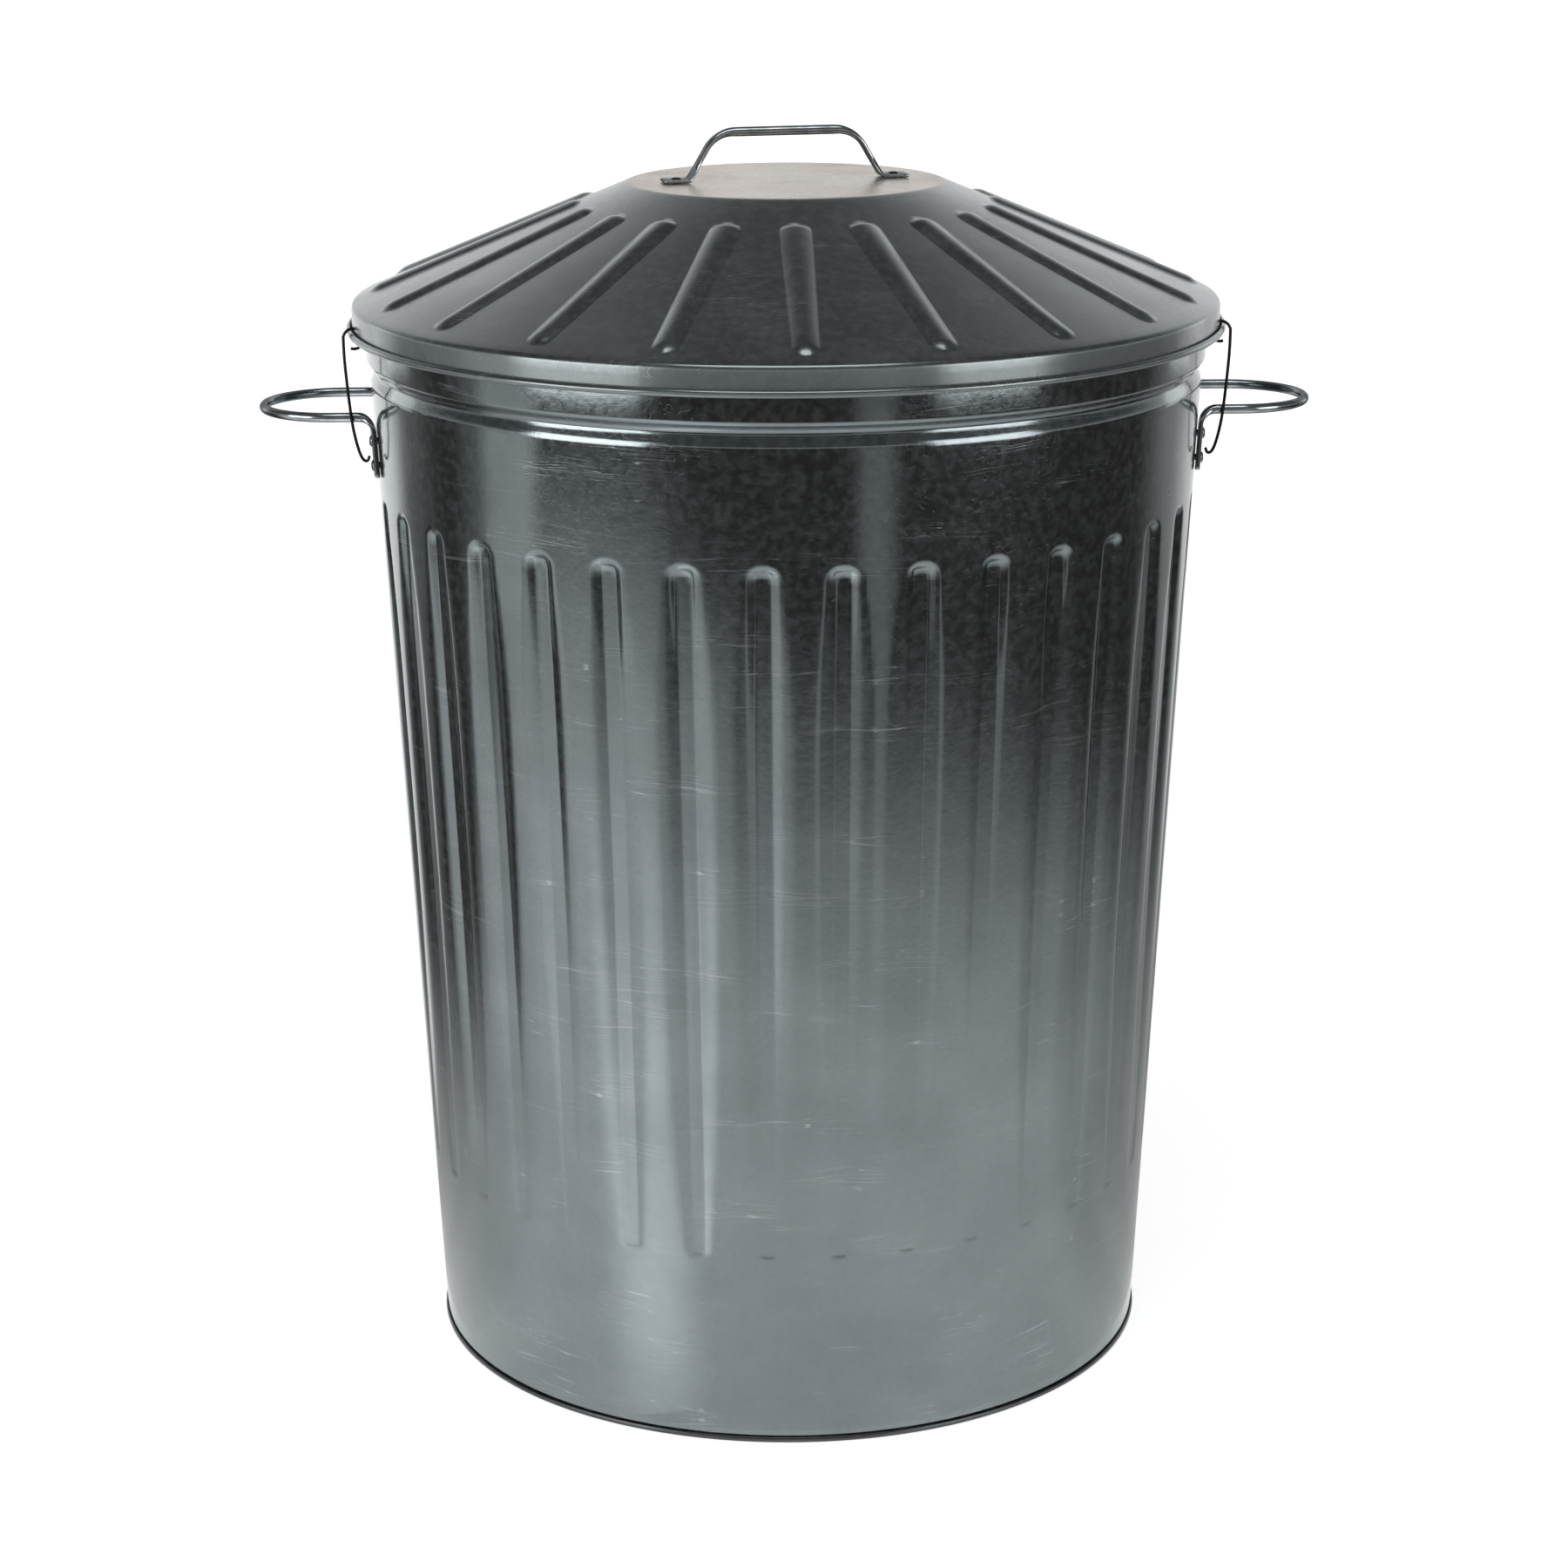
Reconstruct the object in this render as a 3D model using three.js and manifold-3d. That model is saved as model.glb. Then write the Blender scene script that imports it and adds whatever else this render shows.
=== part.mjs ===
// A galvanised steel dustbin with a lift-off lid, in millimetres, +Z up, standing on the plane z = 0.
// The origin is the centre of the base on the floor. The two side handles lie on the X axis, and the
// folded seam of the wall is at the back, on +Y.
//
// The wall is one rolled sheet with pressed-in flutes, a ring groove below the lid, a rim curled round
// a wire and a folded vertical seam. The base is a second sheet, folded up round the wall's foot. The
// lid is pressed from one sheet with raised ribs and a wired hem. The handles are round rods flattened
// at their feet and riveted on, and two wire clips hang from holes in the lid's skirt.

import * as THREE from 'three';
import { mergeVertices } from 'three/addons/utils/BufferGeometryUtils.js';
import Module from 'manifold-3d';

const wasm = await Module();
wasm.setup();

// ---------------------------------------------------------------------------------------------
// Driving dimensions, in millimetres and degrees
// ---------------------------------------------------------------------------------------------

const SHEET = 0.8; // thickness of every sheet
const GAP = 0.35; // clearance between pieces that touch on the real bin

// Wall of the bin
const FOOT_RADIUS = 202; // outer radius at the floor
const WALL_FLARE = 0.048; // gain in radius for each millimetre of height
const WALL_FOOT_Z = 1.4; // lower edge of the wall, inside the folded base
const BAND_RADIUS = 230.5; // straight band under the lid
const RIM_RADIUS = 3; // outer radius of the curled rim
const RIM_CENTRE_Z = 592.6;
const RIM_WIRE_RADIUS = 1.25;
const GROOVE = { lower: 551, floor: 557.5, upper: 563.5, depth: 2.6 };

// Flutes pressed into the wall
const FLUTE_COUNT = 34;
const FLUTE_PITCH = 10.4; // degrees; what is left of the turn is the plain land at the seam
const FLUTE_FRONT = -4.97; // degrees from the front (-Y) to the centre of the flute nearest to it
const FLUTE_HALF = 4.55; // degrees from a flute's centre to its edge
const FLUTE_FLOOR_HALF = 1.3; // degrees from a flute's centre to the edge of its flat floor
const FLUTE_DEPTH = 3;
const FLUTE = { bottom: 103, top: 492, slope: 6, arch: 12 };

// Folded seam at the back
const SEAM = { half: 1.06, foldHalf: 1.26, proud: 1.4, bottom: 9, top: 586 };

// Base
const BASE = { floorZ: 7.2, lipTop: 4.8, lipRadius: 203.8, flangeRadius: 200.7 };

// Side handles
const ROD_RADIUS = 2.5;
const HANDLE = { height: 534.5, half: 40, reach: 288.5, legFoot: 501.6, bend: 8 };
const LEG = { halfWidth: 4.5, halfThickness: 1 };
const HANDLE_RIVET_HEIGHTS = [521.5, 508];

// Lid
const DISC = { z: 656, radius: 84, edge: 88 };
const CONE = { z: 594, radius: 235, slope: 0.416 };
const SKIRT_RADIUS = 237.7;
const SHOULDER_RADIUS = 3.5;
const HEM = { radius: 239, z: 579.5, roll: 2.1, wire: 0.75 };
const RIB = { count: 20, front: 0.64, inner: 111, outer: 228, slope: 6, half: 9, topHalf: 5, height: 2.6 };

// Handle on the lid
const LID_HANDLE = { turn: 10.1, barZ: 682.6, barHalf: 38.5, footInner: 53.5, footOuter: 68 };
const LID_ROD_RADIUS = 2.6;
const LID_FOOT = { halfWidth: 7.5, halfThickness: 0.9 };
const LID_RIVET_AT = 60.5; // from the lid's axis

// Wire clips that hang from the lid: the centre of each eye, and the level plane's distance forwards
const CLIP = { wire: 0.75, x: 234.1, y: -43.9, z: 577.9, eye: 5.5, eyeTurn: 288 };
const CLIP_HOLE = { x: 233.2, z: 583.3, radius: 1.7 };

// Rivets
const RIVET = { shank: 1.8, head: 3.3, headHeight: 1.9, hole: 2.25 };

// ---------------------------------------------------------------------------------------------
// Helpers
// ---------------------------------------------------------------------------------------------

const UP = new THREE.Vector3(0, 0, 1);
const AROUND = new THREE.Vector3(0, 1, 0);
const degrees = THREE.MathUtils.degToRad;
const mix = THREE.MathUtils.lerp;

/** Outer radius of the plain wall at a height. */
const wallRadius = (z) => FOOT_RADIUS + WALL_FLARE * z;

/** Angle about +Z, from +X, of a direction given in degrees from the front (-Y) towards +X. */
const fromFront = (angle) => degrees(angle - 90);

/** One closed solid: shared points merged, flat slivers dropped and the faces turned outwards. */
function solid(geometry) {
  for (const name of Object.keys(geometry.attributes)) {
    if (name !== 'position') geometry.deleteAttribute(name);
  }
  const merged = mergeVertices(geometry, 1e-4);
  const place = merged.getAttribute('position');
  const corner = (i) => new THREE.Vector3().fromBufferAttribute(place, i);
  const kept = [];
  let volume = 0;
  for (let i = 0; i < merged.index.count; i += 3) {
    const [a, b, c] = [0, 1, 2].map((k) => merged.index.getX(i + k));
    if (a === b || b === c || c === a) continue;
    kept.push([a, b, c]);
    volume += corner(a).dot(corner(b).cross(corner(c)));
  }
  merged.setIndex(kept.flatMap(([a, b, c]) => (volume > 0 ? [a, b, c] : [a, c, b])));
  return merged;
}

/**
 * A solid from columns of points that stand round +Z; each point is [radius, z, angle]. Each four-cornered
 * patch is split along its shorter diagonal, so that the two faces of the sheet stay parallel.
 */
function turned(columns, endsOnAxis) {
  const rows = columns[0].length;
  const points = columns.flat().map(([r, z, angle]) => [r * Math.cos(angle), r * Math.sin(angle), z]);
  const apart = (a, b) => Math.hypot(...points[a].map((value, i) => value - points[b][i]));
  const index = [];
  for (let i = 0; i < columns.length; i += 1) {
    const here = i * rows;
    const next = ((i + 1) % columns.length) * rows;
    for (let j = 0; j < (endsOnAxis ? rows - 1 : rows); j += 1) {
      const above = (j + 1) % rows;
      const patch = [here + j, next + j, next + above, here + above];
      const [a, b, c, d] = patch;
      const split = apart(a, c) < apart(b, d) ? [a, b, c, a, c, d] : [a, b, d, b, c, d];
      index.push(...split);
    }
  }
  const geometry = new THREE.BufferGeometry();
  geometry.setAttribute('position', new THREE.Float32BufferAttribute(points.flat(), 3));
  geometry.setIndex(index);
  return solid(geometry);
}

/** Points of an arc in the radius-height plane, from one angle to another, both in degrees. */
function arc(radius, z, size, from, to, steps) {
  return Array.from({ length: steps + 1 }, (_, i) => {
    const angle = degrees(mix(from, to, i / steps));
    return [radius + size * Math.cos(angle), z + size * Math.sin(angle)];
  });
}

/** A polyline with rounded corners, as a list of { at, along }. Each corner has its own radius. */
function roundedPath(corners, radii, steps) {
  const path = [];
  corners.forEach((corner, i) => {
    const before = corners[i - 1];
    const after = corners[i + 1];
    if (!before || !after) {
      const along = before ? corner.clone().sub(before) : after.clone().sub(corner);
      path.push({ at: corner.clone(), along: along.normalize() });
      return;
    }
    const inward = corner.clone().sub(before).normalize();
    const outward = after.clone().sub(corner).normalize();
    const turn = inward.angleTo(outward);
    const setBack = radii[i] * Math.tan(turn / 2);
    const start = corner.clone().addScaledVector(inward, -setBack);
    const side = outward.clone().addScaledVector(inward, -outward.dot(inward)).normalize();
    const centre = start.clone().addScaledVector(side, radii[i]);
    for (let k = 0; k <= steps[i]; k += 1) {
      const angle = (turn * k) / steps[i];
      const at = centre.clone();
      at.addScaledVector(side, -radii[i] * Math.cos(angle));
      at.addScaledVector(inward, radii[i] * Math.sin(angle));
      const along = inward.clone().multiplyScalar(Math.cos(angle)).addScaledVector(side, Math.sin(angle));
      path.push({ at, along });
    }
  });
  return path;
}

/** A bar swept along a path; each section has its width direction, half sizes and squareness. */
function swept(path, sectionAt, sides) {
  const positions = [];
  const index = [];
  for (const point of path) {
    const { wide, halfWidth, halfThickness, square } = sectionAt(point);
    const thick = point.along.clone().cross(wide).normalize();
    const power = mix(1, 0.35, square);
    const shaped = (value) => Math.sign(value) * Math.abs(value) ** power;
    for (let j = 0; j < sides; j += 1) {
      const angle = (2 * Math.PI * (j + 0.5)) / sides;
      const at = point.at.clone();
      at.addScaledVector(wide, halfWidth * shaped(Math.cos(angle)));
      at.addScaledVector(thick, halfThickness * shaped(Math.sin(angle)));
      positions.push(at.x, at.y, at.z);
    }
  }
  const last = (path.length - 1) * sides;
  for (let j = 0; j < sides; j += 1) {
    const next = (j + 1) % sides;
    for (let ring = 0; ring < last; ring += sides) {
      index.push(ring + j, ring + next, ring + sides + next, ring + j, ring + sides + next, ring + sides + j);
    }
    if (j > 0 && next > 0) index.push(0, next, j, last, last + j, last + next);
  }
  const geometry = new THREE.BufferGeometry();
  geometry.setAttribute('position', new THREE.Float32BufferAttribute(positions, 3));
  geometry.setIndex(index);
  return solid(geometry);
}

/** The manifold solid of a closed geometry. */
function toManifold(geometry) {
  const vertProperties = Float32Array.from(geometry.getAttribute('position').array);
  const triVerts = Uint32Array.from(geometry.index.array);
  return new wasm.Manifold(new wasm.Mesh({ numProp: 3, vertProperties, triVerts }));
}

/** A geometry with round holes; each hole is { at, along, radius, depth }. */
function drilled(geometry, holes) {
  let body = toManifold(geometry);
  for (const { at, along, radius, depth } of holes) {
    const drill = new THREE.CylinderGeometry(radius, radius, depth, 10);
    drill.applyQuaternion(new THREE.Quaternion().setFromUnitVectors(AROUND, along));
    drill.translate(at.x, at.y, at.z);
    body = body.subtract(toManifold(solid(drill)));
  }
  const mesh = body.getMesh();
  const result = new THREE.BufferGeometry();
  result.setAttribute('position', new THREE.Float32BufferAttribute(mesh.vertProperties, 3));
  result.setIndex(Array.from(mesh.triVerts));
  return result;
}

// ---------------------------------------------------------------------------------------------
// Finishes
// ---------------------------------------------------------------------------------------------

const FINISH = {
  sheet: new THREE.MeshStandardMaterial({ color: 0x8d9496, roughness: 0.28, metalness: 1 }),
  rod: new THREE.MeshStandardMaterial({ color: 0xa9adaf, roughness: 0.2, metalness: 1 }),
  rivet: new THREE.MeshStandardMaterial({ color: 0x9a9ea0, roughness: 0.32, metalness: 1 }),
  wire: new THREE.MeshStandardMaterial({ color: 0x4c4846, roughness: 0.4, metalness: 1 }),
};

const bin = new THREE.Group();

/** Adds one named piece to the bin, turned about +Z by an angle in degrees. */
function addPiece(name, geometry, finish, turn = 0) {
  const mesh = new THREE.Mesh(geometry, finish);
  mesh.name = name;
  mesh.rotation.z = degrees(turn);
  bin.add(mesh);
  return mesh;
}

// ---------------------------------------------------------------------------------------------
// Wall of the bin
// ---------------------------------------------------------------------------------------------

/** The wall's columns, in degrees from the front: { angle, depth, arch, seam }. */
function wallColumns() {
  const columns = [];
  const first = FLUTE_FRONT - FLUTE_PITCH * (FLUTE_COUNT / 2 - 1);
  for (let i = 0; i < FLUTE_COUNT; i += 1) {
    const centre = first + FLUTE_PITCH * i;
    columns.push({ angle: centre - FLUTE_HALF, depth: 0, arch: FLUTE.arch, seam: 0 });
    columns.push({ angle: centre - FLUTE_FLOOR_HALF, depth: FLUTE_DEPTH, arch: 0, seam: 0 });
    columns.push({ angle: centre + FLUTE_FLOOR_HALF, depth: FLUTE_DEPTH, arch: 0, seam: 0 });
    columns.push({ angle: centre + FLUTE_HALF, depth: 0, arch: FLUTE.arch, seam: 0 });
  }
  const seamAngle = first + FLUTE_PITCH * (FLUTE_COUNT - 0.5) + (360 - FLUTE_PITCH * FLUTE_COUNT) / 2;
  const fold = [
    [-SEAM.foldHalf, 0],
    [-SEAM.half, SEAM.proud],
    [SEAM.half, SEAM.proud],
    [SEAM.foldHalf, 0],
  ];
  fold.forEach(([offset, seam]) => columns.push({ angle: seamAngle + offset, depth: 0, arch: 0, seam }));
  return columns;
}

/** Radius and height of one side of the sheet, from the foot to below the rim. */
function wallSide({ depth, arch, seam }, inset, fold) {
  const plain = (z) => wallRadius(z) - inset;
  const folded = fold ? seam : 0;
  return [
    [plain(WALL_FOOT_Z), WALL_FOOT_Z],
    [plain(SEAM.bottom) + folded, SEAM.bottom],
    [plain(FLUTE.bottom) + folded, FLUTE.bottom + arch],
    [plain(FLUTE.bottom) - depth + folded, FLUTE.bottom + FLUTE.slope + arch],
    [plain(FLUTE.top) - depth + folded, FLUTE.top - FLUTE.slope - arch],
    [plain(FLUTE.top) + folded, FLUTE.top - arch],
    [plain(GROOVE.lower) + folded, GROOVE.lower],
    [plain(GROOVE.floor) - GROOVE.depth + folded, GROOVE.floor],
    [BAND_RADIUS - inset + folded, GROOVE.upper],
    [BAND_RADIUS - inset + folded, SEAM.top],
  ];
}

/** The rolled wall with its flutes, groove, seam and curled rim. */
function makeBodyWall() {
  const rimCentre = BAND_RADIUS - RIM_RADIUS;
  const columns = wallColumns().map((column) => {
    const outside = wallSide(column, 0, true);
    const roll = arc(rimCentre, RIM_CENTRE_Z, RIM_RADIUS, 0, 270, 5);
    const rollInside = arc(rimCentre, RIM_CENTRE_Z, RIM_RADIUS - SHEET, 270, 0, 4);
    const inside = wallSide(column, SHEET, false).reverse();
    const angle = fromFront(column.angle);
    return [...outside, ...roll, ...rollInside, ...inside].map(([r, z]) => [r, z, angle]);
  });
  return drilled(turned(columns, false), handleRivetPlaces().map(rivetHole));
}

/** The wire inside the curled rim. */
function makeRimWire() {
  const ring = new THREE.TorusGeometry(BAND_RADIUS - RIM_RADIUS, RIM_WIRE_RADIUS, 5, 72);
  ring.translate(0, 0, RIM_CENTRE_Z);
  return solid(ring);
}

// ---------------------------------------------------------------------------------------------
// Base
// ---------------------------------------------------------------------------------------------

/** The raised floor of the bin, folded down inside the wall, under its edge and up outside it. */
function makeBaseDisc() {
  const { floorZ, lipTop, lipRadius, flangeRadius } = BASE;
  const chamfer = 0.9;
  const profile = [
    [0, floorZ],
    [flangeRadius - 4, floorZ],
    [flangeRadius - SHEET, floorZ - 2],
    [flangeRadius - SHEET, chamfer],
    [flangeRadius, 0],
    [lipRadius - chamfer, 0],
    [lipRadius, chamfer],
    [lipRadius, lipTop],
    [lipRadius - SHEET, lipTop],
    [lipRadius - SHEET, SHEET],
    [flangeRadius, SHEET],
    [flangeRadius, floorZ - 1.4],
    [flangeRadius - 3.4, floorZ + SHEET],
    [0, floorZ + SHEET],
  ];
  const disc = new THREE.LatheGeometry(profile.map(([r, z]) => new THREE.Vector2(r, z)), 72);
  disc.rotateX(Math.PI / 2);
  return solid(disc);
}

// ---------------------------------------------------------------------------------------------
// Side handles and their rivets
// ---------------------------------------------------------------------------------------------

/** Angle of a handle's legs from the X axis, where they lie on the wall. */
const LEG_ANGLE = Math.asin(HANDLE.half / (wallRadius(HANDLE.height) + GAP + LEG.halfThickness));

/** A round rod bent into a level loop, with two flattened legs down the wall. */
function makeSideHandle() {
  const offWall = GAP + LEG.halfThickness;
  const legAt = (z, side) => {
    const r = wallRadius(z) + offWall;
    return new THREE.Vector3(r * Math.cos(LEG_ANGLE), side * r * Math.sin(LEG_ANGLE), z);
  };
  const outer = (side) => new THREE.Vector3(HANDLE.reach, side * HANDLE.half, HANDLE.height);
  const corners = [
    legAt(HANDLE.legFoot, -1),
    legAt(HANDLE.height, -1),
    outer(-1),
    outer(1),
    legAt(HANDLE.height, 1),
    legAt(HANDLE.legFoot, 1),
  ];
  const radii = [0, HANDLE.bend, HANDLE.half - 0.1, HANDLE.half - 0.1, HANDLE.bend, 0];
  const path = roundedPath(corners, radii, [0, 5, 7, 7, 5, 0]);
  const sectionAt = ({ at, along }) => {
    const flat = Math.abs(along.z);
    const tangent = new THREE.Vector3(-at.y, at.x, 0).normalize().multiplyScalar(-Math.sign(at.y));
    const level = UP.clone().cross(along);
    const wide = level.addScaledVector(tangent, flat * flat);
    wide.addScaledVector(along, -wide.dot(along)).normalize();
    return {
      wide,
      halfWidth: mix(ROD_RADIUS, LEG.halfWidth, flat),
      halfThickness: mix(ROD_RADIUS, LEG.halfThickness, flat),
      square: flat,
    };
  };
  const rod = swept(path, sectionAt, 10);
  return drilled(rod, handleRivetPlaces().filter(({ right }) => right).map(rivetHole));
}

/** Where the handles' rivets sit: a point on the wall's outer face and the outward direction. */
function handleRivetPlaces() {
  const places = [];
  for (const right of [false, true]) {
    for (const front of [false, true]) {
      HANDLE_RIVET_HEIGHTS.forEach((z, row) => {
        const angle = (right ? 0 : Math.PI) + (right === front ? -LEG_ANGLE : LEG_ANGLE);
        const along = new THREE.Vector3(Math.cos(angle), Math.sin(angle), 0);
        const at = along.clone().multiplyScalar(wallRadius(z)).setZ(z);
        const name = `${right ? 'right' : 'left'}_${front ? 'front' : 'rear'}_${row ? 'lower' : 'upper'}`;
        places.push({ name, right, angle, along, at });
      });
    }
  }
  return places;
}

/** The hole that a handle's rivet passes through. */
const rivetHole = ({ at, along }) => ({ at, along, radius: RIVET.hole, depth: 14 });

/** A rivet along +X: x = 0 is the outer face of the sheet, and the plate on it has a thickness. */
function makeRivet(sheet, plate, scale = 1) {
  const inner = -sheet - 0.3;
  const outer = GAP + plate + 0.3;
  const { shank, head, headHeight } = RIVET;
  const profile = [
    [0, inner - 1.1],
    [head * 0.85, inner - 1],
    [head * 0.95, inner],
    [shank, inner],
    [shank, outer],
    [head, outer],
    [head * 0.82, outer + headHeight * 0.6],
    [head * 0.45, outer + headHeight * 0.93],
    [0, outer + headHeight],
  ];
  const points = profile.map(([r, x]) => new THREE.Vector2(r * scale, x));
  const rivet = new THREE.LatheGeometry(points, 8);
  rivet.rotateZ(-Math.PI / 2);
  return solid(rivet);
}

// ---------------------------------------------------------------------------------------------
// Lid
// ---------------------------------------------------------------------------------------------

/** Height of the lid's cone at a radius. */
const coneZ = (r) => CONE.z + CONE.slope * (CONE.radius - r);

/** The lid's columns: { rib, offset, height, share }, five to each rib. */
function lidColumns() {
  const columns = [];
  const pitch = 360 / RIB.count;
  for (let i = 0; i < RIB.count; i += 1) {
    const angle = fromFront(RIB.front + pitch * i);
    for (const offset of [-RIB.half, -RIB.topHalf, RIB.topHalf, RIB.half]) {
      const height = Math.abs(offset) < RIB.half ? RIB.height : 0;
      columns.push({ height, angleAt: (r) => angle + Math.asin(offset / Math.max(r, DISC.radius)) });
    }
    columns.push({ height: 0, angleAt: () => angle + degrees(pitch / 2) });
  }
  return columns;
}

/** One face of the lid's sheet, from the axis out to the skirt, lowered by a depth. */
function lidFace(height, lowered) {
  const tilt = Math.atan(CONE.slope);
  const down = lowered / Math.cos(tilt);
  const ribbed = [
    [RIB.inner, 0],
    [RIB.inner + RIB.slope, height],
    [RIB.outer - RIB.slope, height],
    [RIB.outer, 0],
  ];
  const shoulderR = SKIRT_RADIUS - SHOULDER_RADIUS;
  const shoulderZ = coneZ(shoulderR) - SHOULDER_RADIUS / Math.cos(tilt);
  const shoulder = arc(shoulderR, shoulderZ, SHOULDER_RADIUS - lowered, 90 - THREE.MathUtils.radToDeg(tilt), 0, 2);
  return [
    [0, DISC.z - lowered],
    [DISC.radius, DISC.z - lowered],
    [DISC.edge, coneZ(DISC.edge) - down],
    ...ribbed.map(([r, h]) => [r, coneZ(r) + h - down]),
    ...shoulder,
  ];
}

/** The pressed lid: flat top, ribbed cone, rounded shoulder, skirt and wired hem. */
function makeLidShell() {
  const columns = lidColumns().map(({ height, angleAt }) => {
    const underside = lidFace(height, SHEET);
    const roll = arc(HEM.radius, HEM.z, HEM.roll, 180, 450, 4);
    const rollInside = arc(HEM.radius, HEM.z, HEM.roll - SHEET, 450, 180, 4);
    const outside = lidFace(height, 0).reverse();
    return [...underside, ...roll, ...rollInside, ...outside].map(([r, z]) => [r, z, angleAt(r)]);
  });
  return drilled(turned(columns, true), [...lidRivetHoles(), ...clipHoles()]);
}

/** The wire inside the lid's rolled hem. */
function makeLidHemWire() {
  const columns = lidColumns().map(({ angleAt }) =>
    arc(HEM.radius, HEM.z, HEM.wire, 0, 288, 4).map(([r, z]) => [r, z, angleAt(r)]));
  return turned(columns, false);
}

// ---------------------------------------------------------------------------------------------
// Handle on the lid
// ---------------------------------------------------------------------------------------------

/** Level direction of the lid's handle, from its left foot to its right foot. */
const lidHandleWay = new THREE.Vector3(1, 0, 0).applyAxisAngle(UP, degrees(LID_HANDLE.turn));

/** A rod raised over the lid's flat top, its two ends flattened into feet. */
function makeLidHandle() {
  const footZ = DISC.z + GAP + LID_FOOT.halfThickness;
  const { barZ, barHalf, footInner, footOuter } = LID_HANDLE;
  const half = [
    [footOuter, footZ],
    [footInner, footZ],
    [barHalf, barZ],
  ];
  const outline = [...half.map(([s, z]) => [-s, z]), ...[...half].reverse()];
  const corners = outline.map(([s, z]) => lidHandleWay.clone().multiplyScalar(s).setZ(z));
  const path = roundedPath(corners, [0, 2.5, 13, 13, 2.5, 0], [0, 3, 5, 5, 3, 0]);
  const across = UP.clone().cross(lidHandleWay);
  const sectionAt = ({ at }) => {
    const s = Math.abs(at.dot(lidHandleWay));
    const flat = THREE.MathUtils.smoothstep(s, barHalf - 8, footInner);
    return {
      wide: across,
      halfWidth: mix(LID_ROD_RADIUS, LID_FOOT.halfWidth, flat),
      halfThickness: mix(LID_ROD_RADIUS, LID_FOOT.halfThickness, flat),
      square: flat,
    };
  };
  return drilled(swept(path, sectionAt, 10), lidRivetHoles());
}

/** The two holes through the lid and the handle's feet. */
function lidRivetHoles() {
  return [-1, 1].map((side) => ({
    at: lidHandleWay.clone().multiplyScalar(side * LID_RIVET_AT).setZ(DISC.z),
    along: UP,
    radius: RIVET.hole,
    depth: 14,
  }));
}

/** A rivet standing through one of the lid handle's feet. */
function makeLidRivet(side) {
  const rivet = makeRivet(SHEET, 2 * LID_FOOT.halfThickness);
  rivet.rotateY(-Math.PI / 2);
  const at = lidHandleWay.clone().multiplyScalar(side * LID_RIVET_AT);
  return rivet.translate(at.x, at.y, DISC.z);
}

// ---------------------------------------------------------------------------------------------
// Wire clips
// ---------------------------------------------------------------------------------------------

/** The two holes in the lid's skirt that the clips hang from. */
function clipHoles() {
  const { x, z, radius } = CLIP_HOLE;
  return [-1, 1].map((side) => {
    const along = new THREE.Vector3(side, 0, 0);
    return { at: new THREE.Vector3(side * x, CLIP.y, z), along, radius, depth: 8 };
  });
}

/** A spring wire in an upright plane: a round eye through the hole, a long shank and a curled foot. */
function makeClip(side) {
  // The shank, from the eye down to the tip: steps outwards and upwards from the eye's centre.
  const shank = [
    [5.3, -10.9],
    [4.5, -22.9],
    [3.5, -34.9],
    [2.05, -47.9],
    [-0.2, -58.9],
    [-2.6, -65.4],
    [-5.1, -66.6],
    [-6.4, -63.9],
  ];
  const eye = arc(0, 0, CLIP.eye, CLIP.eyeTurn, 0, 14);
  const outline = [...eye, ...shank].map(([out, up]) => new THREE.Vector3(CLIP.x + out, CLIP.y, CLIP.z + up));
  const route = new THREE.CatmullRomCurve3(outline);
  const eyePath = eye.map((_, i) => i / (outline.length - 1));
  const shares = [...eyePath, ...Array.from({ length: 16 }, (_, i) => mix(eyePath.at(-1), 1, (i + 1) / 16))];
  const path = shares.map((share) => ({ at: route.getPoint(share), along: route.getTangent(share) }));
  const sectionAt = () => ({ wide: AROUND, halfWidth: CLIP.wire, halfThickness: CLIP.wire, square: 0 });
  const wire = swept(path, sectionAt, 6);
  return side > 0 ? wire : solid(wire.scale(-1, 1, 1));
}

// ---------------------------------------------------------------------------------------------
// The whole bin
// ---------------------------------------------------------------------------------------------

addPiece('body_wall', makeBodyWall(), FINISH.sheet);
addPiece('rim_wire', makeRimWire(), FINISH.wire);
addPiece('base_disc', makeBaseDisc(), FINISH.sheet);

addPiece('side_handle_right', makeSideHandle(), FINISH.rod);
addPiece('side_handle_left', makeSideHandle(), FINISH.rod, 180);
for (const { name, angle, at } of handleRivetPlaces()) {
  const rivet = addPiece(`rivet_${name}`, makeRivet(SHEET, 2 * LEG.halfThickness), FINISH.rivet);
  rivet.rotation.z = angle;
  rivet.position.copy(at);
}

addPiece('lid_shell', makeLidShell(), FINISH.sheet);
addPiece('lid_hem_wire', makeLidHemWire(), FINISH.wire);
addPiece('lid_handle', makeLidHandle(), FINISH.rod);
addPiece('lid_rivet_left', makeLidRivet(-1), FINISH.rivet);
addPiece('lid_rivet_right', makeLidRivet(1), FINISH.rivet);
addPiece('lid_clip_left', makeClip(-1), FINISH.wire);
addPiece('lid_clip_right', makeClip(1), FINISH.wire);

export default bin;
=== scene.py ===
"""A galvanised steel dustbin with a lift-off lid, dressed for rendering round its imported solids.

Every size here is in millimetres until a piece is made, and then in metres. Angles round the bin are in
degrees from the front (-Y) towards the right side handle (+X).
"""

import logging
import math
from dataclasses import dataclass, field
from enum import Enum
from typing import Any, Callable, Iterable, Sequence

import bmesh
import bpy
from mathutils import Matrix, Vector


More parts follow.
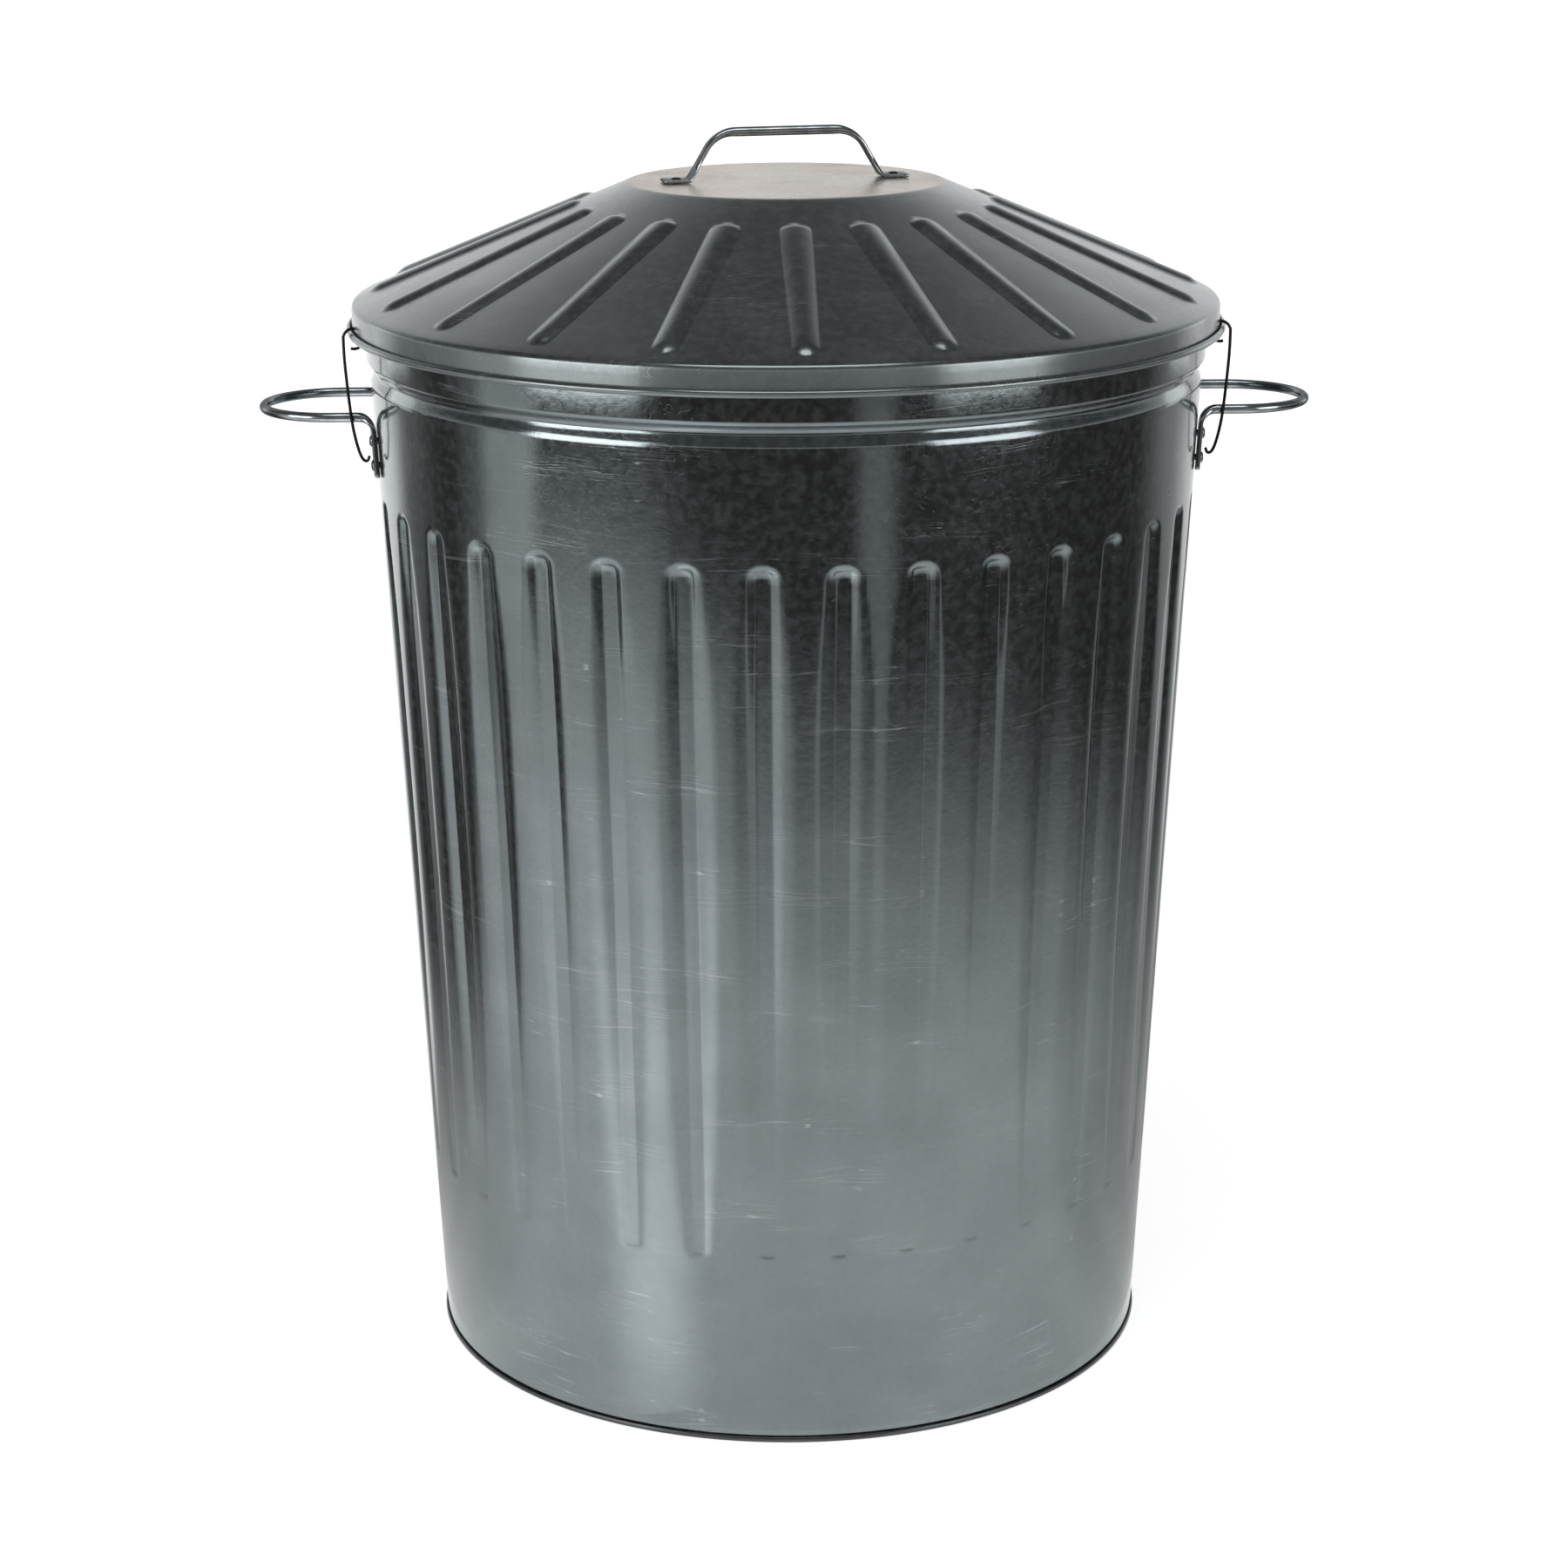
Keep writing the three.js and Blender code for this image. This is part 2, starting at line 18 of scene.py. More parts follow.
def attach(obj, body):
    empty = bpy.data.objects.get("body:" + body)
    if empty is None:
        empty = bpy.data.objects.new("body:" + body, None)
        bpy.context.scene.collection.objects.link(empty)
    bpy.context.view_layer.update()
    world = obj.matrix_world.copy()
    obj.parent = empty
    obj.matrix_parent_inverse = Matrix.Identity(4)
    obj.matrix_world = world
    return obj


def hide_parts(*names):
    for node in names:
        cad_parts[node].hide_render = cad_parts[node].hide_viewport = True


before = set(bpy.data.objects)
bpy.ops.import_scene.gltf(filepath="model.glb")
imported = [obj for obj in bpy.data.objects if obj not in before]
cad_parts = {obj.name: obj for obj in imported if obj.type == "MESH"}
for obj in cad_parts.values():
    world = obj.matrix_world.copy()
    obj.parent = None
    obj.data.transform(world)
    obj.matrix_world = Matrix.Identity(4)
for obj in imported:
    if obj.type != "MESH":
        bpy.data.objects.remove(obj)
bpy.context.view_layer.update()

MM = 0.001
SHEET = 0.8  # gauge of the sheet
GAP = 0.35  # between a sheet and the flattened rod end on it
UP = Vector((0, 0, 1))
WHITE = (1.0, 1.0, 1.0, 1.0)
LOG = logging.getLogger("dustbin")

Outline = list[tuple[float, float]]
BMesh = bmesh.types.BMesh
Material = bpy.types.Material
Object = bpy.types.Object
Tree = bpy.types.NodeTree
Socket = bpy.types.NodeSocket


class Side(Enum):
    """The side of the bin that a handle or a clip is on, as its sign along X."""

    LEFT = -1
    RIGHT = 1


# ---- Shaping ----


def mix(low: float, high: float, share: float) -> float:
    """Value part of the way from low to high."""
    return low + (high - low) * share


def smooth_share(low: float, high: float, value: float) -> float:
    """Smooth step from 0 at low to 1 at high."""
    share = min(max((value - low) / (high - low), 0.0), 1.0)
    return share * share * (3 - 2 * share)


def polar(at: Vector) -> tuple[float, float]:
    """Distance from the bin's axis, and angle in radians from the front towards the right."""
    return math.hypot(at.x, at.y), math.atan2(at.x, -at.y)


def arc(radius: float, z: float, size: float, start: float, end: float, steps: int) -> Outline:
    """Points of an arc in the radius-height plane.

    Args:
        radius: Distance of the arc's centre from the axis.
        z: Height of the arc's centre.
        size: Radius of the arc itself.
        start: First angle in degrees, from outwards towards up.
        end: Last angle in degrees.
        steps: Number of steps between them.

    Returns:
        The points, as (radius, height).
    """
    angles = [math.radians(mix(start, end, i / steps)) for i in range(steps + 1)]
    return [(radius + size * math.cos(a), z + size * math.sin(a)) for a in angles]


def spin_outline(outline: Outline, steps: int, closed: bool = False) -> BMesh:
    """Spins an outline a full turn about +Z, starting at the front.

    Args:
        outline: Points as (radius, height).
        steps: Columns in the full turn.
        closed: True where the last point joins the first.

    Returns:
        The spun surface, its faces pointing away from the middle of the bin.
    """
    bm = bmesh.new()
    points = [bm.verts.new((0, -radius, z)) for radius, z in outline]
    pairs = list(zip(points, points[1:]))
    if closed:
        pairs.append((points[-1], points[0]))
    edges = [bm.edges.new(pair) for pair in pairs]
    bmesh.ops.spin(
        bm,
        geom=points + edges,
        cent=(0, 0, 0),
        axis=UP,
        dvec=(0, 0, 0),
        angle=math.tau,
        steps=steps,
        use_merge=True,
        use_normal_flip=False,
        use_duplicate=False,
    )
    bmesh.ops.remove_doubles(bm, verts=bm.verts, dist=1e-3)
    bmesh.ops.recalc_face_normals(bm, faces=bm.faces)
    return bm


def face_away(bm: BMesh) -> None:
    """Turns an open sheet's faces away from the middle of the bin."""
    outward = sum(face.normal.dot(face.calc_center_median()) * face.calc_area() for face in bm.faces)
    if outward < 0:
        bmesh.ops.reverse_faces(bm, faces=bm.faces)


def turn_columns(bm: BMesh, steps: int, place: Callable[[int, float], float]) -> None:
    """Turns each column of a spun sheet to an angle of its own.

    Args:
        bm: The spun sheet, with even columns from the front.
        steps: Columns in the full turn.
        place: Gives a column's angle in degrees, from its number and the radius.
    """
    for vert in bm.verts:
        radius, turn = polar(vert.co)
        if radius < 1e-3:
            continue
        angle = math.radians(place(round(turn / math.tau % 1.0 * steps) % steps, radius))
        vert.co.x = radius * math.sin(angle)
        vert.co.y = -radius * math.cos(angle)


@dataclass(frozen=True)
class Station:
    """One cross-section of a bent rod or wire."""

    at: Vector
    along: Vector
    wide: Vector
    half_width: float
    half_thickness: float
    square: float = 0.0

    def place(self, angle: float) -> Vector:
        """Where the section's point at an angle round it lies."""
        power = mix(1.0, 0.3, self.square)
        thick = self.along.cross(self.wide).normalized()
        across, through = (math.copysign(abs(f(angle)) ** power, f(angle)) for f in (math.cos, math.sin))
        return self.at + self.wide * self.half_width * across + thick * self.half_thickness * through


def sweep(stations: Sequence[Station], sides: int, end_bevel: float) -> BMesh:
    """Draws a rod through its sections, by extruding a circle from each to the next.

    Args:
        stations: The sections, in order.
        sides: Corners of each section.
        end_bevel: Width of the chamfer round each cut end.

    Returns:
        A closed rod.
    """
    bm = bmesh.new()
    ring = bmesh.ops.create_circle(bm, cap_ends=False, segments=sides, radius=1)["verts"]
    angles = [math.atan2(vert.co.y, vert.co.x) + math.pi / sides for vert in ring]
    edges = list(bm.edges)
    ends = [edges]
    for i, station in enumerate(stations):
        if i:
            was = {vert.co.copy().freeze(): angle for vert, angle in zip(ring, angles)}
            made = bmesh.ops.extrude_edge_only(bm, edges=edges)["geom"]
            ring = [item for item in made if isinstance(item, bmesh.types.BMVert)]
            edges = [item for item in made if isinstance(item, bmesh.types.BMEdge)]
            angles = [was[vert.co.copy().freeze()] for vert in ring]
        for vert, angle in zip(ring, angles):
            vert.co = station.place(angle)
    edges = [edge for edge in bm.edges if edge.is_boundary and all(v in set(ring) for v in edge.verts)]
    ends.append(edges)
    for end in ends:
        bmesh.ops.edgeloop_fill(bm, edges=end)
    bmesh.ops.recalc_face_normals(bm, faces=bm.faces)
    bmesh.ops.bevel(
        bm,
        geom=[edge for end in ends for edge in end],
        offset=end_bevel,
        offset_type="OFFSET",
        segments=2,
        profile=0.5,
        affect="EDGES",
        material=-1,
    )
    return bm


def rounded_path(
    corners: Sequence[Vector], radii: Sequence[float], spacing: float
) -> list[tuple[Vector, Vector]]:
    """A bent centreline: straight runs joined by arcs.

    Args:
        corners: Where the straight runs would meet.
        radii: The bend radius at each corner; the two ends have none.
        spacing: Longest step along a bend or a straight run.

    Returns:
        Points with their directions.
    """
    path = [(corners[0], (corners[1] - corners[0]).normalized())]
    for before, corner, after, radius in zip(corners, corners[1:], corners[2:], radii[1:]):
        inward = (corner - before).normalized()
        outward = (after - corner).normalized()
        turn = inward.angle(outward)
        start = corner - inward * radius * math.tan(turn / 2)
        side = (outward - inward * outward.dot(inward)).normalized()
        centre = start + side * radius
        run = (start - path[-1][0]).length
        for k in range(1, math.ceil(run / spacing)):
            path.append((path[-1][0] + inward * run / math.ceil(run / spacing), inward))
        steps = max(4, math.ceil(radius * turn / spacing * 2))
        for k in range(steps + 1):
            angle = turn * k / steps
            at = centre - side * radius * math.cos(angle) + inward * radius * math.sin(angle)
            path.append((at, inward * math.cos(angle) + side * math.sin(angle)))
    last = (corners[-1] - corners[-2]).normalized()
    run = (corners[-1] - path[-1][0]).length
    steps = max(1, math.ceil(run / spacing))
    for k in range(steps):
        path.append((path[-1][0] + last * run / steps, last))
    return path


def smooth_path(points: Sequence[Vector], per_span: int) -> list[tuple[Vector, Vector]]:
    """A centreline that runs smoothly through its points.

    Args:
        points: Points to pass through.
        per_span: Steps between neighbouring points.

    Returns:
        Points with their directions.
    """
    path = []
    padded = [points[0] * 2 - points[1], *points, points[-1] * 2 - points[-2]]
    for a, b, c, d in zip(padded, padded[1:], padded[2:], padded[3:]):
        square = a * 2 - b * 5 + c * 4 - d
        cube = b * 3 - a - c * 3 + d
        for k in range(per_span):
            t = k / per_span
            at = (b * 2 + (c - a) * t + square * t**2 + cube * t**3) / 2
            way = ((c - a) + square * 2 * t + cube * 3 * t**2) / 2
            path.append((at, way.normalized()))
    path.append((points[-1], (points[-1] - points[-2]).normalized()))
    return path


def new_object(bm: BMesh, name: str, material: Material) -> Object:
    """Makes an object from a shape in metres, which is used up."""
    mesh = bpy.data.meshes.new(name)
    bm.to_mesh(mesh)
    bm.free()
    mesh.materials.append(material)
    thing = bpy.data.objects.new(name, mesh)
    bpy.context.scene.collection.objects.link(thing)
    return thing


def add_piece(
    bm: BMesh,
    name: str,
    finish: Material,
    body: str,
    nodes: Iterable[str],
    crease: float = 40.0,
) -> Object:
    """Makes an object from a shape in millimetres and hangs it on its body.

    Args:
        bm: The shape; it is used up.
        name: Name of the piece.
        finish: Its material.
        body: The moving body it rides on.
        nodes: The solids it stands for.
        crease: Edges sharper than this many degrees stay crisp.

    Returns:
        The new object.
    """
    bmesh.ops.scale(bm, vec=(MM, MM, MM), verts=bm.verts)
    piece = new_object(bm, name, finish)
    mesh = piece.data
    mesh.shade_smooth()
    mesh.set_sharp_from_angle(angle=math.radians(crease))
    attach(piece, body)
    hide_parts(*nodes)
    LOG.info("%s: %d faces on %s", name, len(mesh.polygons), body)
    return piece


def thicken(piece: Object, thickness: float) -> None:
    """Gives an open sheet its thickness, inwards from the modelled face."""
    solid = piece.modifiers.new("sheet_thickness", "SOLIDIFY")
    solid.thickness = thickness * MM
    solid.offset = -1
    solid.use_even_offset = True
    solid.use_quality_normals = True


# ---- Finishes ----


def linear(code: str) -> tuple[float, float, float, float]:
    """Linear colour of an sRGB hex code such as "8d9496"."""
    parts = [int(code[i : i + 2], 16) / 255 for i in (0, 2, 4)]
    return (*(p / 12.92 if p <= 0.04045 else ((p + 0.055) / 1.055) ** 2.4 for p in parts), 1.0)


def add_node(
    tree: Tree,
    kind: str,
    settings: dict[str | int, Any] | None = None,
    links: dict[str | int, Socket] | None = None,
    out: str | int = 0,
) -> Socket | None:
    """Adds a node with its settings and links.

    Some inputs are set by number: 1 to 4 of MapRange are the range it takes and the range it gives, and
    6 and 7 of Mix are its two colours, whose mixture is output 2.

    Args:
        tree: The material's or world's node tree.
        kind: Blender's name for the node type, without its "ShaderNode".
        settings: Properties by name; a number or an input's name sets that input's value.
        links: What feeds each input, by the input's name or number.
        out: The wanted output, by name or number.

    Returns:
        That output, or None from a node without outputs.
    """
    node = tree.nodes.new("ShaderNode" + kind)
    for name, value in (settings or {}).items():
        if isinstance(name, str) and hasattr(node, name):
            setattr(node, name, value)
        else:
            node.inputs[name].default_value = value
    for name, source in (links or {}).items():
        tree.links.new(source, node.inputs[name])
    return node.outputs[out] if node.outputs else None


def empty_tree(block: Material | bpy.types.World) -> Tree:
    """The node tree of a new material or world, with nothing in it yet."""
    block.use_nodes = True
    block.node_tree.nodes.clear()
    return block.node_tree


def blotches(
    tree: Tree,
    place: Socket,
    size_mm: float,
    detail: float = 3.0,
    stretch: tuple[float, float, float] = (1, 1, 1),
) -> Socket:
    """Random blotches about size_mm across, longer along an axis that is stretched."""
    scale = tuple(1 / s for s in stretch)
    mapped = add_node(tree, "Mapping", {"vector_type": "POINT", "Scale": scale}, {"Vector": place})
    settings = {"Scale": 1 / (size_mm * MM), "Detail": detail, "Roughness": 0.55}
    return add_node(tree, "TexNoise", settings, {"Vector": mapped})


def unrolled(tree: Tree, place: Socket, radius_mm: float) -> Socket:
    """Place on the wall as if it were unrolled flat: distance round from the front, then height."""
    across = add_node(tree, "SeparateXYZ", links={0: place})
    _, deep, height = across.node.outputs
    back = add_node(tree, "Math", {"operation": "MULTIPLY", 1: -1.0}, {0: deep})
    turn = add_node(tree, "Math", {"operation": "ARCTAN2"}, {0: across, 1: back})
    along = add_node(tree, "Math", {"operation": "MULTIPLY", 1: radius_mm * MM}, {0: turn})
    return add_node(tree, "CombineXYZ", links={0: along, 1: height})


@dataclass(frozen=True)
class Marks:
    """What lies on a sheet: the place on it, and how much of each mark is there."""

    place: Socket
    crystals: Socket
    smudges: Socket
    rolling: Socket
    lines: Socket
    dust: Socket | None


@dataclass(frozen=True)
class GalvanizedSheet:
    """Cold-rolled steel sheet with a bright hot-dip zinc coat, rolled or pressed after coating.

    Zinc gives the eye a cool grey mirror that is a little blurred. Its fine crystals show as mottling
    where a light is reflected, handling leaves scuffs and long thin scratches, and dust lies on a flat top.
    """

    name: str
    bright: str
    dull: str
    roughness: float
    scratches: float
    wave_mm: float
    dust: float = 0.0
    rolled: bool = False
    grain: float = 1.0
    crystal_mm: float = 2.4
    scratch_colour: str = "d8dcdd"
    dust_colour: str = "dccbbd"
    earth_colour: str = "bd9c88"
    dusty_heights: tuple[float, float] = (653.0, 655.5)
    rolled_radius: float = 220.0
    smudge_duller: float = 0.12
    rolling_duller: float = 0.05

    def material(self) -> Material:
        """Builds the node material.

        Returns:
            The finished material.
        """
        material = bpy.data.materials.new(self.name)
        tree = empty_tree(material)
        place = add_node(tree, "TexCoord", out="Object")
        flat = unrolled(tree, place, self.rolled_radius) if self.rolled else place
        marks = Marks(
            place=place,
            crystals=self.crystals(tree, place),
            smudges=blotches(tree, place, 55, 4),
            # Drawn coarser than real rolling lines, 1.6 mm apart, so that they show.
            rolling=blotches(tree, flat, 1.6, 2, (40, 1, 1)),
            lines=self.scratch_lines(tree, flat),
            dust=self.dust_share(tree, place) if self.dust else None,
        )
        links = {
            "Base Color": self.colour(tree, marks),
            "Metallic": self.metal(tree, marks),
            "Roughness": self.surface_roughness(tree, marks),
            "Normal": self.relief(tree, marks),
        }
        add_node(tree, "OutputMaterial", links={"Surface": add_node(tree, "BsdfPrincipled", links=links)})
        return material

    def crystals(self, tree: Tree, place: Socket) -> Socket:
        """A random value for each zinc crystal, its outline frayed by finer noise."""
        size = self.crystal_mm * MM
        fray = add_node(tree, "TexNoise", {"Scale": 1 / (2 * MM), "Detail": 2.0}, {"Vector": place}, 1)
        settings = {"operation": "MULTIPLY_ADD", 1: (size,) * 3}
        moved = add_node(tree, "VectorMath", settings, {0: fray, 2: place})
        settings = {"Scale": 1 / size, "Randomness": 1.0}
        cells = add_node(tree, "TexVoronoi", settings, {"Vector": moved}, "Color")
        return add_node(tree, "SeparateColor", links={0: cells})

    def scratch_lines(self, tree: Tree, flat: Socket) -> Socket:
        """Thin scratches, nearly level and in patches: two sets of long ones and one of short ones.

        Real ones are about 0.1 mm wide; these are about 0.3 mm, so that they show in the render.
        """
        total = None
        for tilt, size, run, patch in ((-5.0, 3.1, 110, 0.6), (4.0, 4.3, 110, 0.6), (1.0, 1.5, 40, 0.55)):
            turned = add_node(tree, "Mapping", {"Rotation": (0, 0, math.radians(tilt))}, {"Vector": flat})
            drift = blotches(tree, turned, size, 0, (run, 1, 1))
            away = add_node(tree, "Math", {"operation": "SUBTRACT", 1: 0.5}, {0: drift})
            away = add_node(tree, "Math", {"operation": "ABSOLUTE"}, {0: away})
            line = add_node(tree, "MapRange", {1: 0.004, 2: 0.016, 3: 1.0, 4: 0.0}, {0: away})
            patches = blotches(tree, turned, 20, 1, (3.5, 1, 1))
            patches = add_node(tree, "MapRange", {1: patch, 2: patch + 0.12}, {0: patches})
            line = add_node(tree, "Math", {"operation": "MULTIPLY"}, {0: line, 1: patches})
            if total:
                line = add_node(tree, "Math", {"operation": "MAXIMUM"}, {0: total, 1: line})
            total = line
        return total

    def colour(self, tree: Tree, marks: Marks) -> Socket:
        """Zinc colour: crystals and smudges between bright and dull, scratches brighter, dust on top."""
        speckle = add_node(tree, "MapRange", {3: -0.06, 4: 0.06}, {0: marks.crystals})
        smudge = add_node(tree, "MapRange", {1: 0.35, 2: 0.7, 3: 0.15, 4: 0.85}, {0: marks.smudges})
        share = add_node(tree, "Math", {"operation": "ADD", "use_clamp": True}, {0: speckle, 1: smudge})
        shades = {"data_type": "RGBA", 6: linear(self.bright), 7: linear(self.dull)}
        zinc = add_node(tree, "Mix", shades, {0: share}, 2)
        scratch = add_node(tree, "Math", {"operation": "MULTIPLY", 1: self.scratches}, {0: marks.lines})
        shades = {"data_type": "RGBA", 7: linear(self.scratch_colour)}
        zinc = add_node(tree, "Mix", shades, {0: scratch, 6: zinc}, 2)
        if not marks.dust:
            return zinc
        earthy = add_node(tree, "MapRange", {1: 0.52, 2: 0.72}, {0: blotches(tree, marks.place, 45, 3)})
        shades = {"data_type": "RGBA", 6: linear(self.dust_colour), 7: linear(self.earth_colour)}
        earth = add_node(tree, "Mix", shades, {0: earthy}, 2)
        return add_node(tree, "Mix", {"data_type": "RGBA"}, {0: marks.dust, 6: zinc, 7: earth}, 2)

    def upward(self, tree: Tree) -> Socket:
        """How much a face looks up: 1 where it is level."""
        return add_node(tree, "SeparateXYZ", links={0: add_node(tree, "NewGeometry", out="Normal")}, out=2)

    def dust_share(self, tree: Tree, place: Socket) -> Socket:
        """How much dust lies at a point: mostly on the lid's level top, and in blotches."""
        settings = {1: 0.93, 2: 1.0, 3: 0.06 * self.dust, 4: self.dust}
        share = add_node(tree, "MapRange", settings, {0: self.upward(tree)})
        height = add_node(tree, "SeparateXYZ", links={0: place}, out=2)
        low, high = (z * MM for z in self.dusty_heights)
        on_top = add_node(tree, "MapRange", {1: low, 2: high, 3: 0.25}, {0: height})
        patches = add_node(tree, "MapRange", {1: 0.3, 2: 0.75, 3: 0.5}, {0: blotches(tree, place, 30, 5)})
        for part in (on_top, patches):
            share = add_node(tree, "Math", {"operation": "MULTIPLY"}, {0: share, 1: part})
        return share

    def metal(self, tree: Tree, marks: Marks) -> Socket:
        """Metallic share: oxide hides the zinc in blotches, and on the lid haze, dust and hand marks too."""
        film = {1: 0.42, 2: 0.66, 3: 0.98, 4: 0.86}
        share = add_node(tree, "MapRange", film, {0: blotches(tree, marks.place, 5, 5)})
        if not marks.dust:
            return share
        handled = add_node(tree, "MapRange", {1: 0.1, 2: 0.5, 3: 0.52}, {0: self.upward(tree)})
        dusted = add_node(tree, "MapRange", {3: 1.0, 4: 0.45}, {0: marks.dust})
        haze = {1: 0.48, 2: 0.72, 3: 1.0, 4: 0.87}
        hazy = add_node(tree, "MapRange", haze, {0: blotches(tree, marks.place, 34, 5)})
        for part in (handled, dusted, hazy):
            share = add_node(tree, "Math", {"operation": "MULTIPLY"}, {0: share, 1: part})
        return share

    def surface_roughness(self, tree: Tree, marks: Marks) -> Socket:
        """Roughness: each crystal its own; finger marks, rolling lines, scratches and dust add to it."""
        spread = {3: self.roughness - 0.02, 4: self.roughness + 0.02}
        total = add_node(tree, "MapRange", spread, {0: marks.crystals})
        smudges, rolling = (marks.smudges, self.smudge_duller), (marks.rolling, self.rolling_duller)
        for source, amount in (smudges, rolling, (marks.lines, 0.15), (marks.dust, 0.14)):
            if source:
                settings = {"operation": "MULTIPLY_ADD", 1: amount, "use_clamp": True}
                total = add_node(tree, "Math", settings, {0: source, 2: total})
        mean = 0.5 * (self.smudge_duller + self.rolling_duller)
        return add_node(tree, "Math", {"operation": "SUBTRACT", 1: mean, "use_clamp": True}, {0: total})

    def relief(self, tree: Tree, marks: Marks) -> Socket:
        """Relief: slow waves of the thin sheet, then the grain of crystals and rolling lines."""
        layers = [
            (self.wave_mm, blotches(tree, marks.place, 75, 1)),
            (0.009 * self.grain, marks.crystals),
            (0.03 * self.grain, blotches(tree, marks.place, 3.6, 3)),
            (0.004, marks.rolling),
        ]
        links = {}
        for depth_mm, height in layers:
            links["Height"] = height
            links["Normal"] = add_node(tree, "Bump", {"Strength": 1.0, "Distance": depth_mm * MM}, links)
        return links["Normal"]


@dataclass(frozen=True)
class DrawnSteel:
    """Drawn steel rod or wire, zinc plated or left dark.

    Drawing leaves a bright, nearly smooth skin with faint pits, which shows the room as thin lines. Its edge
    colour greys the reflection at grazing angles: a painted darker reflection along the edges of the rod.
    """

    name: str
    bright: str
    dull: str
    roughness: float
    # Grey colour of the reflection at grazing angles: a painted darker reflection along the edges.
    edge: str = "8a8a8a"
    pit_mm: float = 0.006

    def material(self) -> Material:
        """Builds the node material.

        Returns:
            The finished material.
        """
        material = bpy.data.materials.new(self.name)
        tree = empty_tree(material)
        place = add_node(tree, "TexCoord", out="Object")
        stains = blotches(tree, place, 9, 4)
        stained = add_node(tree, "MapRange", {1: 0.4, 2: 0.7}, {0: stains})
        shades = {"data_type": "RGBA", 6: linear(self.bright), 7: linear(self.dull)}
        skin = {1: 0.3, 2: 0.7, 3: self.roughness * 0.75, 4: self.roughness * 1.3}
        pits = blotches(tree, place, 0.9, 2)
        depth = {"Strength": 1.0, "Distance": self.pit_mm * MM}
        links = {
            "Base Color": add_node(tree, "Mix", shades, {0: stained}, 2),
            "Roughness": add_node(tree, "MapRange", skin, {0: stains}),
            "Normal": add_node(tree, "Bump", depth, {"Height": pits}),
        }
        # The edge colour as Specular Tint paints a darker reflection along the rod's edges.
        settings = {"Metallic": 1.0, "Specular Tint": linear(self.edge)}
        shader = add_node(tree, "BsdfPrincipled", settings, links)
        add_node(tree, "OutputMaterial", links={"Surface": shader})
        return material


# ---- Bin ----


